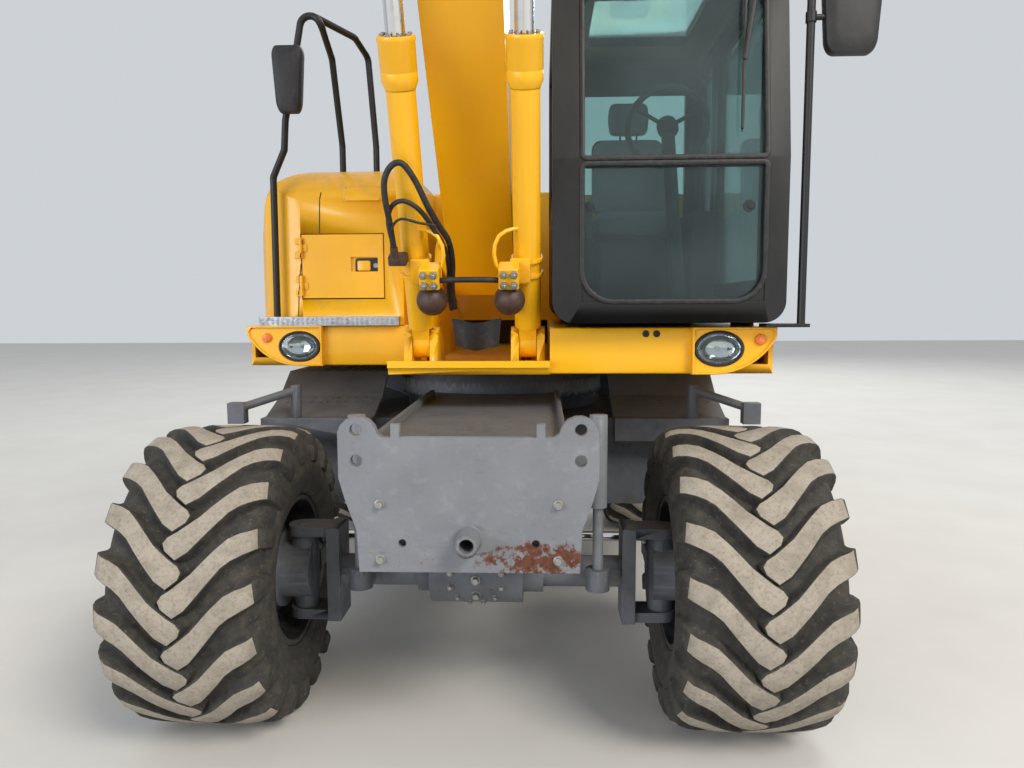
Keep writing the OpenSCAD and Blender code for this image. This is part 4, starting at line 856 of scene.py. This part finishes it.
MARKER = [(-0.009, 0.0235), (0.0, 0.0235), (0.004, 0.021), (0.0065, 0.014), (0.0072, 0.004)]


def lamp_part(profile, place, y, oval=True, n=40, loop=True):
    """A turned lamp part, pressed to the lamp's oval, facing forwards at place."""
    pts, faces = turned(profile, n, loop)
    return placed((pts * (OVAL if oval else 1), faces), (place[0], y, place[1]), (0, -1, 0), (1, 0, 0))


def lamp_group(name, profile, material, **options):
    """The same lamp part on both sides."""
    parts = [lamp_part(profile, at, y + 0.005, **options) for at, _, y in LAMPS]
    return make(name, parts, material)


rims = lamp_group("lamp_rims", RIM, moulded_black)
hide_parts("headlamps")
lamp_group("lamp_bowls", BOWL, hard_chrome)
lamp_group("lamp_bulbs", BULB, lamp_bulb, oval=False, n=16, loop=False)
lamp_group("lamp_glasses", PANE, lamp_glass)
make("marker_lamps", [lamp_part(MARKER, at, y + 0.004, False, 28, False) for _, at, y in LAMPS], marker_lens)

# Rubber plugs on the chamfer of the cab side's beam
PLUG = [(-0.001, 0.015), (0.003, 0.015), (0.005, 0.012), (0.005, 0.008), (0.002, 0.007), (0.002, 0.001)]
make("beam_plugs", [spun(PLUG, 24, (x, -1.220, 1.527), (0, -1, 0)) for x in (0.694, 0.740)], hose_rubber)

# Punched studs on the step strip
STUD = [(-0.0005, 0.0075), (0.001, 0.007), (0.0022, 0.0052), (0.0022, 0.004), (0.0008, 0.0032)]
at_strip = [(x, -1.2, z) for x in np.arange(-1.160, -0.475, 0.0252) for z in (1.568, 1.588)]
studs = [spun(STUD, 14, at, n) for at, n in struck("step_strip", at_strip, (0, 1, 0))]
make("strip_studs", studs, galvanised)


# Tank cover: seam, blank plate with its rivets, latch of the toolbox, filler cap

SEAM = ((-0.990, 1.600), (-0.984, 1.711), (-0.973, 1.824), (-0.963, 1.907), (-0.955, 1.985),
        (-0.870, 2.016), (-0.866, 2.120), (-0.862, 2.230))
turns = np.concatenate([np.linspace(a, b, 12, endpoint=False) for a, b in zip(SEAM[:-1], SEAM[1:])])
on_seam = [p - n * 0.0005 for p, n in struck("tank_cover", [(x, -1.5, z) for x, z in turns], (0, 1, 0))]
make("cover_seam", swept(on_seam, (0, -1, 0), (0.0035, 0.0015), 8), hose_rubber)
PLATE_X, PLATE_Z, PLATE_THICK = -0.6525, 2.2115, 0.0016
at, normal = struck("tank_cover", [(PLATE_X, -1.5, PLATE_Z)], (0, 1, 0))[0]
make("blank_plate", plate((0.193, 0.088, 0.008), PLATE_THICK, 0.6, at, normal, (1, 0, 0)), yellow_enamel)
RIVET = [(-0.001, 0.0035), (0.0012, 0.0034), (0.0024, 0.0024), (0.0028, 0.0008)]
corners = [(PLATE_X + dx, -1.5, PLATE_Z + dz) for dx in (-0.087, 0.087) for dz in (-0.03, 0.03)]
rivets = [spun(RIVET, 12, p + n * 0.0015, n) for p, n in struck("tank_cover", corners, (0, 1, 0))]
make("plate_rivets", rivets, zinc_bolt)
at, normal = struck("toolbox_door", [(-0.627, -1.5, 1.854)], (0, 1, 0))[0]
dish = plate((0.134, 0.076, 0.014), 0.005, 2.0, at, normal, (1, 0, 0))
make("latch_dish", dish, moulded_black, "toolbox_door")
KEY = [(0, 0.013), (0.006, 0.013), (0.0075, 0.0115), (0.0075, 0.0095), (0.0062, 0.009), (0.0062, 0.002)]
on_dish = at + normal * 0.005
paddle = plate((0.066, 0.05, 0.008), 0.006, 2.5, on_dish + (-0.022, 0, 0), normal, (1, 0, 0))
make("latch_paddle", paddle, yellow_enamel, "toolbox_door")
make("latch_barrel", spun(KEY, 24, on_dish + (0.038, 0, 0), normal), zinc_bolt, "toolbox_door")
CAP = [(-0.001, 0.062), (0.008, 0.062), (0.010, 0.059), (0.010, 0.052), (0.030, 0.050), (0.034, 0.046),
       (0.034, 0.022), (0.0375, 0.020), (0.0375, 0.003)]
at, normal = struck("tank_cover", [(-0.80, -0.10, 3.0)], (0, 0, -1))[0]
make("filler_cap", spun(CAP, 36, at, normal), moulded_black)


# Mirrors: a rounded shell that narrows downwards and bulges forwards, with a silvered glass set in its
# back

# Rings of a shell from the glass's edge round the case: scale, and how far behind its middle
SHELL_RINGS = ((0.93, 0.016), (0.97, 0.026), (1.0, 0.020), (1.0, -0.004), (0.97, -0.018), (0.86, -0.028),
               (0.6, -0.033))


def mirror_shell(x, y, z, w, low, h):
    """Rings from the glass's edge round the case to the middle of its front: rounded outlines that
    shrink. Half its width goes from w at the top to low at the bottom, and half its height is h."""
    line = rounded(1, 1, 0.18, 6)
    across = (w + (low - w) * (0.5 - line[:, 1])) * line[:, 0] * 2
    rings = []
    for scale, off in SHELL_RINGS:
        upright = z + scale * h * 2 * line[:, 1]
        rings.append(np.column_stack([x + scale * across, np.full(len(line), y + off), upright]))
    return np.concatenate(rings), capped(len(rings), len(line))


HEADS = ((1.490, -1.290, 2.800, 0.120, 0.100, 0.148), (-0.973, -0.784, 2.740, 0.079, 0.058, 0.158))
shells = make("mirror_shells", [mirror_shell(*head) for head in HEADS], moulded_black)
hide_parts("mirrors")
glasses = []
for x, y, z, w, low, h in HEADS:
    size = (2 * low - 0.016, 2 * h - 0.036, 0.02)
    glasses.append(plate(size, 0.002, 1.0, (x, y + 0.0155, z), (0, 1, 0), (-1, 0, 0)))
make("mirror_glasses", glasses, mirror_silver)
# Arms: a stub from the cab's rail, and a two-piece clamp on the tank's rail
COLLAR = [(-0.02, 0.0215), (0.02, 0.0215), (0.02, 0.0175), (-0.02, 0.0175)]
arms = [spun([(0, 0.012), (0.048, 0.012)], 20, (1.346, -1.290, 2.800), (1, 0, 0)),
        spun(COLLAR, 24, (1.330, -1.290, 2.800), (0, 0, 1), True),
        plate((0.045, 0.040, 0.006), 0.022, 2.0, (-0.9775, -0.742, 2.740), (0, -1, 0), (1, 0, 0))]
make("mirror_arms", arms, black_coat)


# Cab front

FACE_Y, LEAN_Z, LEAN = -1.330, 2.250, 0.095 / 0.710
PANE_X, PANE_Z, SPLIT_Z = (0.412, 1.165), (1.665, 2.960), 2.237
# Each pane from its lower to its upper edge, with the radius of its corners at either
LOWER_PANE = (PANE_Z[0], SPLIT_Z - 0.008, 0.130, 0.02)
UPPER_PANE = (SPLIT_Z + 0.014, PANE_Z[1], 0.02, 0.070)
QUARTER = np.linspace(0, math.pi / 2, 9)


def face_y(z):
    """Y of the cab's front face: upright below, leaning back above."""
    return FACE_Y + LEAN * np.maximum(np.asarray(z, float) - LEAN_Z, 0)


def pane_seal(z0, z1, r0, r1, side):
    """Rubber seal round a pane from z0 to z1, with corners of radius r0 below and r1 above."""
    x0, x1 = PANE_X
    corners = ((x1 - r1, z1 - r1, r1), (x0 + r1, z1 - r1, r1), (x0 + r0, z0 + r0, r0), (x1 - r0, z0 + r0, r0))
    x, z, r = np.array(corners).T[:, :, None]
    a = QUARTER + np.arange(4)[:, None] * math.pi / 2
    xs, zs = (x + r * np.cos(a)).ravel(), (z + r * np.sin(a)).ravel()
    return swept(np.stack([xs, face_y(zs) - 0.001, zs], -1), side, (0.011, 0.006), loop=True)


def gusset(x, z, r, sx, sz):
    """Fills a square corner of the opening at (x, z) up to an arc of radius r, from just behind the
    face."""
    cx, cz = x - sx * r, z - sz * r
    line = [(x, z), (cx, z)] + [(cx + sx * r * math.sin(a), cz + sz * r * math.cos(a)) for a in QUARTER[1:]]
    pts = [(px, float(face_y(pz)) + back, pz) for back in (0.004, 0.020) for px, pz in line]
    return pts, capped(2, len(line))


leaning = (0, -1, LEAN)
CORNERS = ((LOWER_PANE[0], LOWER_PANE[2], -1), (LOWER_PANE[1], LOWER_PANE[3], 1),
           (UPPER_PANE[1], UPPER_PANE[3], 1))
gussets = [gusset(x, z, r, sx, sz) for x, sx in zip(PANE_X, (-1, 1)) for z, r, sz in CORNERS]
make("pane_corners", gussets, black_coat)
make("pane_seals", [pane_seal(*LOWER_PANE, (0, -1, 0)), pane_seal(*UPPER_PANE, leaning)], hose_rubber)


def on_pane(x, z, off):
    """A place off the cab's front face."""
    return np.array([x, float(face_y(z)) - off, z])


# Wiper: a blade of holder and rubber, a sprung arm, and a spindle cap
WIPER_X, WIPER_Z = 1.110, 3.020
slide = np.linspace(0, 1, 9)
holder = swept([on_pane(1.058 + 0.02 * s, 2.36 + 0.56 * s, 0.014) for s in slide], leaning, (0.007, 0.006))
rubber = swept([on_pane(1.058 + 0.02 * s, 2.35 + 0.58 * s, 0.007) for s in slide], leaning, (0.003, 0.006))
ARM = ((WIPER_X, WIPER_Z, 0.030), (1.112, 2.96, 0.034), (1.104, 2.86, 0.032), (1.085, 2.74, 0.026),
       (1.070, 2.64, 0.022))
arm = swept([on_pane(*spot) for spot in ARM], leaning, (0.010, 0.005))
HUB = [(0, 0.024), (0.022, 0.024), (0.028, 0.020), (0.036, 0.018), (0.038, 0.012)]
hub = spun(HUB, 24, on_pane(WIPER_X, WIPER_Z, 0.0), leaning)
make("wiper", [holder, rubber, arm, hub], moulded_black)
# Round window latches inside the lower glass
KNOB = [(0, 0.014), (0.012, 0.014), (0.016, 0.024), (0.030, 0.026), (0.036, 0.022), (0.038, 0.012)]
knobs = [spun(KNOB, 24, (x, FACE_Y + 0.02, 2.058), (0, 1, 0)) for x in (0.445, 1.105)]
make("window_knobs", knobs, moulded_black)
# Door handle: a bow beside a dish, and its key barrel
at, normal = struck("cab_door", [(2.0, -1.088, 1.98)], (-1, 0, 0))[0]
half_turn = np.linspace(0, math.pi, 13)
bend = [at + (0.004 + 0.034 * math.sin(a) ** 0.6, 0, 0.075 * math.cos(a)) for a in half_turn]
handle = [swept(bend, (0, 1, 0), (0.008, 0.011)),
          plate((0.052, 0.20, 0.02), 0.004, 2.0, at, normal, (0, 1, 0)),
          spun(KEY, 24, at + (0.003, 0, -0.125), normal)]
make("door_handle", handle, moulded_black, "cab_door")


# Seat: padded cushion, back and headrest on a shell and a pan

SEAT_X = 0.7725


def pad_shape(size, square=0.32, n=(40, 24)):
    """Superellipsoid: x = a cos(v)^s cos(u)^s, y = b cos(v)^s sin(u)^s, z = c sin(v)^s, with a power s
    below 1 that squares it."""

    def power(value):
        return np.sign(value) * np.abs(value) ** square

    u = np.linspace(-math.pi, math.pi, n[0], endpoint=False)
    v = np.linspace(-math.pi / 2 + 0.02, math.pi / 2 - 0.02, n[1])
    vv, uu = np.meshgrid(v, u, indexing="ij")
    flat = power(np.cos(vv))
    shape = np.stack([flat * power(np.cos(uu)), flat * power(np.sin(uu)), power(np.sin(vv))], -1)
    return (shape * (np.array(size) / 2)).reshape(-1, 3), capped(n[1], n[0])


def pad(name, size, at, tip, cap):
    """A stuffed pad tipped back by tip degrees: remeshed, blown up as cloth with its points held to
    cap, and smoothed."""
    a = math.radians(tip)
    piece = make(name, placed(pad_shape(size), at, (0, math.sin(a), math.cos(a)), (1, 0, 0)), seat_cloth)
    puffed(piece, cap)
    return piece


def puffed(piece, cap):
    """Blows a pad up as cloth, and keeps each point within cap of where it started."""
    scene = bpy.context.scene
    remesh = piece.modifiers.new("remesh", "REMESH")
    remesh.mode, remesh.voxel_size, remesh.use_smooth_shade = "VOXEL", 0.008, True
    settle(piece)
    before = places(piece.data)
    cloth = piece.modifiers.new("cloth", "CLOTH")
    cloth.settings.use_pressure = True
    cloth.settings.uniform_pressure_force = 4.0
    cloth.settings.effector_weights.gravity = 0.0
    for number in range(1, 21):
        scene.frame_set(number)
    settle(piece)
    move = places(piece.data) - before
    far = np.maximum(np.linalg.norm(move, axis=1, keepdims=True), 1e-9)
    piece.data.vertices.foreach_set("co", (before + move * np.minimum(1, cap / far)).ravel())
    scene.frame_set(1)
    piece.data.polygons.foreach_set("use_smooth", np.ones(len(piece.data.polygons), bool))
    piece.data.update()


def settle(piece):
    """Writes a piece's modifiers into its mesh."""
    shaped = piece.evaluated_get(bpy.context.evaluated_depsgraph_get())
    mesh = bpy.data.meshes.new_from_object(shaped)
    piece.modifiers.clear()
    piece.data = mesh


cushion = pad("seat_cushion", (0.47, 0.46, 0.14), (SEAT_X, -0.02, 2.105), -4, 0.010)
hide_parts("seat")
pads = [cushion, pad("seat_back", (0.46, 0.11, 0.47), (SEAT_X, 0.235, 2.415), 8, 0.010),
        pad("seat_headrest", (0.236, 0.085, 0.19), (SEAT_X, 0.285, 2.775), 8, 0.006)]
# Seat shell behind the pads, the headrest's stays, and the pan under the cushion
frames = [plate((0.44, 0.47, 0.06), 0.02, 8.0, (SEAT_X, 0.292, 2.43), (0, 1, -0.14), (-1, 0, 0)),
          plate((0.46, 0.44, 0.05), 0.03, 8.0, (SEAT_X, -0.01, 2.016), (0, 0, 1), (1, 0, 0))]
for x in (SEAT_X - 0.05, SEAT_X + 0.05):
    frames.append(swept([(x, 0.262, 2.60), (x, 0.270, 2.66), (x, 0.280, 2.74)], (1, 0, 0), (0.006, 0.006)))
make("seat_shell", frames, moulded_black)


# Boom cylinders: glands, valve blocks with their pipes, accumulators and fittings

CYL_LEAN = math.radians(24.65)
# The barrels' feet: X between them, half their distance, their Y and their height
CYL_X, CYL_OUT, CYL_Y, CYL_Z = -0.055, 0.238, -1.093, 1.483


def beside_barrel(side, x, y, z):
    """A place in the frame of a boom cylinder's barrel, x outwards from the boom, as a place in the
    row."""
    c, s = math.cos(CYL_LEAN), math.sin(CYL_LEAN)
    return np.array([CYL_X + side * (CYL_OUT + x), CYL_Y + y * c - z * s, CYL_Z + y * s + z * c])


barrel_way = (0, -math.sin(CYL_LEAN), math.cos(CYL_LEAN))
inward_way = (0, -math.cos(CYL_LEAN), -math.sin(CYL_LEAN))
BALL = [(-0.066 * math.cos(a), 0.066 * math.sin(a)) for a in np.linspace(0.12, math.pi - 0.12, 19)]
BAND = [(-0.007, 0.0585), (0.007, 0.0585), (0.007, 0.068), (-0.007, 0.068)]
SOCKET = [(-0.002, 0.0085), (0.009, 0.0085), (0.010, 0.0075), (0.010, 0.0045), (0.006, 0.0042),
          (0.006, 0.001)]
UNION = [(0, 0.017), (0.012, 0.017), (0.014, 0.015), (0.014, 0.012)]
STEM = [(0.013, 0.010), (0.022, 0.010), (0.024, 0.008)]
NECK = [(0, 0.020), (0.008, 0.020), (0.010, 0.014), (0.020, 0.014)]
BLOCK_X, BLOCK_Y, BLOCK_Z = -0.074, -0.118, (0.330, 0.420)


def block(side):
    """Valve block: a rounded plan carried up the barrel, its lower and upper edges broken."""
    line = rounded(0.084, 0.090, 0.008, 3)
    z0, z1 = BLOCK_Z
    rings = []
    for z, scale in ((z0, 0.94), (z0 + 0.003, 1), (z1 - 0.003, 1), (z1, 0.94)):
        rings += [beside_barrel(side, BLOCK_X + p[0] * scale, BLOCK_Y + p[1] * scale, z) for p in line]
    return rings, capped(4, len(line))


def hoop(side):
    """Steel pipe bent from the block's side up and round to the barrel."""
    points = [(-0.108, -0.10, 0.395), (-0.126, -0.10, 0.415), (-0.134, -0.10, 0.46),
              (-0.130, -0.095, 0.50), (-0.112, -0.085, 0.535), (-0.085, -0.07, 0.55),
              (-0.056, -0.05, 0.552), (-0.036, -0.040, 0.55)]
    return swept([beside_barrel(side, *p) for p in points], inward_way, (0.0085, 0.0085), 12)


# Gland of a barrel: a cone up to it, a fine seam and a rim round the rod
GLAND = [(1.090, 0.0583), (1.119, 0.0706), (1.154, 0.0706), (1.156, 0.0696), (1.158, 0.0706),
         (1.258, 0.0706), (1.264, 0.0735), (1.276, 0.0735), (1.2805, 0.0715), (1.2805, 0.050),
         (1.270, 0.050)]
# Radius of the ring of socket screws on a gland, and where they sit
SCREW_RING, GLAND_TOP = 0.0545, 1.280
glands = [spun(GLAND, 72, beside_barrel(side, 0, 0, 0), barrel_way, True) for side in (-1, 1)]
make("boom_glands", glands, yellow_enamel, "boom_barrels")
blocks, balls, fittings = [], [], []
for side in (-1, 1):
    blocks += [block(side), hoop(side)]
    saddle = beside_barrel(side, -0.028, -0.0595, 0.375)
    blocks.append(plate((0.085, 0.11, 0.008), 0.016, 2.0, saddle, inward_way, (1, 0, 0), 3))
    for z in (0.342, 0.408):
        blocks.append(spun(BAND, 40, beside_barrel(side, 0, 0, z), barrel_way, True))
    balls.append(spun(BALL, 36, beside_barrel(side, BLOCK_X, BLOCK_Y, 0.266), barrel_way))
    fittings.append(spun(NECK, 6, beside_barrel(side, BLOCK_X, BLOCK_Y, 0.316), barrel_way))
    for k in range(8):
        a = (k + 0.5) * TAU / 8
        spot = beside_barrel(side, SCREW_RING * math.cos(a), SCREW_RING * math.sin(a), GLAND_TOP)
        fittings.append(spun(SOCKET, 12, spot, barrel_way))
    for x, z in ((-0.094, 0.352), (-0.052, 0.352), (-0.094, 0.398), (-0.052, 0.398)):
        spot = beside_barrel(side, x, BLOCK_Y - 0.045, z)
        fittings.append(spun(UNION, 6, spot, inward_way))
        fittings.append(spun(STEM, 18, spot, inward_way))
valves = make("valve_blocks", blocks, yellow_enamel, "boom_barrels")
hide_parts("boom_valves")
make("accumulators", balls, brown_primer, "boom_barrels")
make("block_fittings", fittings, zinc_bolt, "boom_barrels")


# Hoses over the toolbox side's barrel, a cross hose between the valve blocks, and the pocket's apron

# Radius of each hose, and its places beside the barrel
HOSES = (
    (0.0125, ((0.067, -0.112, 0.500), (0.071, -0.122, 0.611), (0.078, -0.126, 0.701),
               (0.075, -0.116, 0.777), (0.046, -0.104, 0.828), (0.003, -0.099, 0.836),
               (-0.041, -0.097, 0.770), (-0.081, -0.096, 0.670), (-0.118, -0.075, 0.579),
               (-0.150, -0.045, 0.504), (-0.158, -0.015, 0.396), (-0.146, 0.010, 0.260),
               (-0.150, 0.030, 0.160))),
    (0.0100, ((0.074, -0.085, 0.500), (0.082, -0.095, 0.600), (0.060, -0.105, 0.668),
               (0.010, -0.104, 0.690), (-0.050, -0.098, 0.650), (-0.100, -0.080, 0.560),
               (-0.134, -0.050, 0.470), (-0.140, -0.010, 0.360), (-0.128, 0.020, 0.240),
               (-0.135, 0.035, 0.150))),
    (0.0055, ((0.062, -0.125, 0.505), (0.060, -0.135, 0.590), (0.020, -0.140, 0.628),
               (-0.050, -0.135, 0.610), (-0.110, -0.110, 0.590))),
    (0.012, ((-0.112, -0.130, 0.360), (-0.16, -0.16, 0.375), (-0.24, -0.165, 0.378), (-0.32, -0.16, 0.375),
             (-0.364, -0.130, 0.360))),
)
held = []
for r, points in HOSES:
    held.append(swept(eased([beside_barrel(-1, *p) for p in points]), (0, -1, 0.1), (r, r), 12))
make("barrel_hoses", held, hose_rubber, "boom_barrels")
ends = []
for r, points in HOSES[:2]:
    start = beside_barrel(-1, *points[0])
    sleeve = [(-0.045, r * 1.1), (-0.043, r * 1.3), (0.0, r * 1.3), (0.002, r * 1.05)]
    ends.append(spun(sleeve, 18, start, barrel_way))
    ends.append(spun([(-0.06, r * 1.6), (-0.044, r * 1.6)], 6, start, barrel_way))
clip = beside_barrel(-1, 0.060, -0.080, 0.420)
ends.append(plate((0.075, 0.075, 0.010), 0.035, 2.0, clip, barrel_way, (1, 0, 0)))
make("hose_ends", ends, brown_primer, "boom_barrels")


def apron(x, z, y, w, h, nu=25, nv=13, thick=0.005):
    """A limp rubber sheet hung by its upper edge, in soft folds: y swings by a sine that grows
    downwards."""
    u, v = np.meshgrid(np.linspace(-1, 1, nu), np.linspace(0, 1, nv), indexing="ij")
    swing = 0.012 * v * np.sin(5.0 * u + 0.8) + 0.02 * v**2
    across, down = x + 0.5 * w * u * (1 - 0.12 * v), z - h * v - 0.01 * np.cos(3 * u)
    front = np.stack([across, y + swing, down], -1).reshape(-1, 3)
    number = np.arange(nu * nv).reshape(nu, nv)
    rim = np.concatenate([number[:, 0], number[-1, 1:], number[-2::-1, -1], number[0, -2:0:-1]])
    after = np.roll(rim, -1)
    sides = np.stack([rim, rim + nu * nv, after + nu * nv, after], -1)
    grid = net(nu, nv)
    return np.concatenate([front, front + (0, thick, 0)]), [*grid, *(grid + nu * nv)[:, ::-1], *sides]


make("pocket_apron", apron(-0.045, 1.585, -1.150, 0.22, 0.125), hose_rubber)


# Rear: door latches, tail lamps and bolts of the counterweight

for node, side in (("pump_door", -1), ("cooler_door", 1)):
    at, normal = struck(node, [(side * 3.0, 0.645, 1.95)], (-side, 0, 0))[0]
    dish = plate((0.07, 0.12, 0.014), 0.005, 2.0, at, normal, (0, 1, 0))
    key = spun(KEY, 24, at + normal * 0.004 + (0, 0, 0.035), normal)
    make(node + "_latch", [dish, key], moulded_black, node)
LENS = [(-0.004, 0.046), (0.004, 0.046), (0.010, 0.042), (0.014, 0.028), (0.015, 0.006)]
tail = struck("counterweight", [(x, 3.0, 1.72) for x in (-0.86, 0.86)], (0, -1, 0))
make("tail_lamps", [spun(LENS, 32, p + n * 0.003, n) for p, n in tail], tail_lens)
RING = [(-0.004, 0.053), (0.006, 0.053), (0.009, 0.050), (0.006, 0.0462), (-0.004, 0.0462)]
make("tail_rims", [spun(RING, 32, p, n, True) for p, n in tail], hose_rubber)
starts = [(x, 3.0, z) for x in (-0.45, 0.45) for z in (1.55, 2.1)]
bolts("weight_bolts", "counterweight", starts, (0, -1, 0), 36, "upper")


# Camera, floor and light

EYE = (0.2482, -4.5455, 1.6538)
YAW, PITCH, ROLL = (math.radians(a) for a in (2.31, 5.91, -0.296))
FOCAL_PX, PHOTO_W = 763.42, 1024
ahead = np.array([-math.sin(YAW) * math.cos(PITCH), math.cos(YAW) * math.cos(PITCH), -math.sin(PITCH)])
level = np.array([math.cos(YAW), math.sin(YAW), 0.0])
above = np.cross(level, ahead)
right = level * math.cos(ROLL) + above * math.sin(ROLL)
up = -level * math.sin(ROLL) + above * math.cos(ROLL)
lens = bpy.data.cameras.new("camera")
lens.sensor_width = 36.0
lens.lens = FOCAL_PX * lens.sensor_width / PHOTO_W
lens.clip_start = 0.05
camera = added("camera", lens)
place = [[right[i], up[i], -ahead[i], EYE[i]] for i in range(3)]
camera.matrix_world = Matrix(place + [[0, 0, 0, 1]])
bpy.context.scene.camera = camera

# Pale sealed concrete
PAVING = (("#C9C7C2", 0.9, (900, 0.35, 0.7)),)
floor_finish = finish("pale_floor", "#CFCDC9", 0.9, PAVING)
FLOOR = 30.0
corners = FLOOR * np.array([(-1, -1, 0), (1, -1, 0), (1, 1, 0), (-1, 1, 0)])
floor_mesh = bpy.data.meshes.new("floor")
floor_mesh.from_pydata((corners - (0, 0, 0.001)).tolist(), [], [[0, 1, 2, 3]])
floor_mesh.materials.append(floor_finish)
floor = added("floor", floor_mesh)
floor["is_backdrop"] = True

world = bpy.data.worlds.new("studio")
world.use_nodes = True
world.node_tree.nodes["Background"].inputs["Color"].default_value = colour("#E9EEF3")
world.node_tree.nodes["Background"].inputs["Strength"].default_value = 0.75
bpy.context.scene.world = world


def lamp(name, place, aim, size, power, code):
    """A soft square lamp at place, turned to aim."""
    light = bpy.data.lights.new(name, "AREA")
    light.energy, light.size, light.color = power, size, colour(code)[:3]
    holder = added(name, light)
    holder.location = place
    back = unit(np.subtract(place, aim))
    side = unit(np.cross((0, 0, 1), back))
    holder.rotation_euler = Matrix(np.stack([side, np.cross(back, side), back], 1).tolist()).to_euler()


lamp("key", (10.0, -13.0, 13.0), (0, -1.5, 1.5), 7.0, 2900, "#FFF9EE")
lamp("fill", (-11.0, -13.0, 4.0), (0, -1.5, 1.6), 8.0, 1150, "#F3F6FF")
lamp("rear", (4.0, 14.0, 12.0), (0, 0, 1.5), 8.0, 1200, "#FFFFFF")

bpy.context.scene.view_settings.view_transform = "Standard"
low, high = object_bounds()
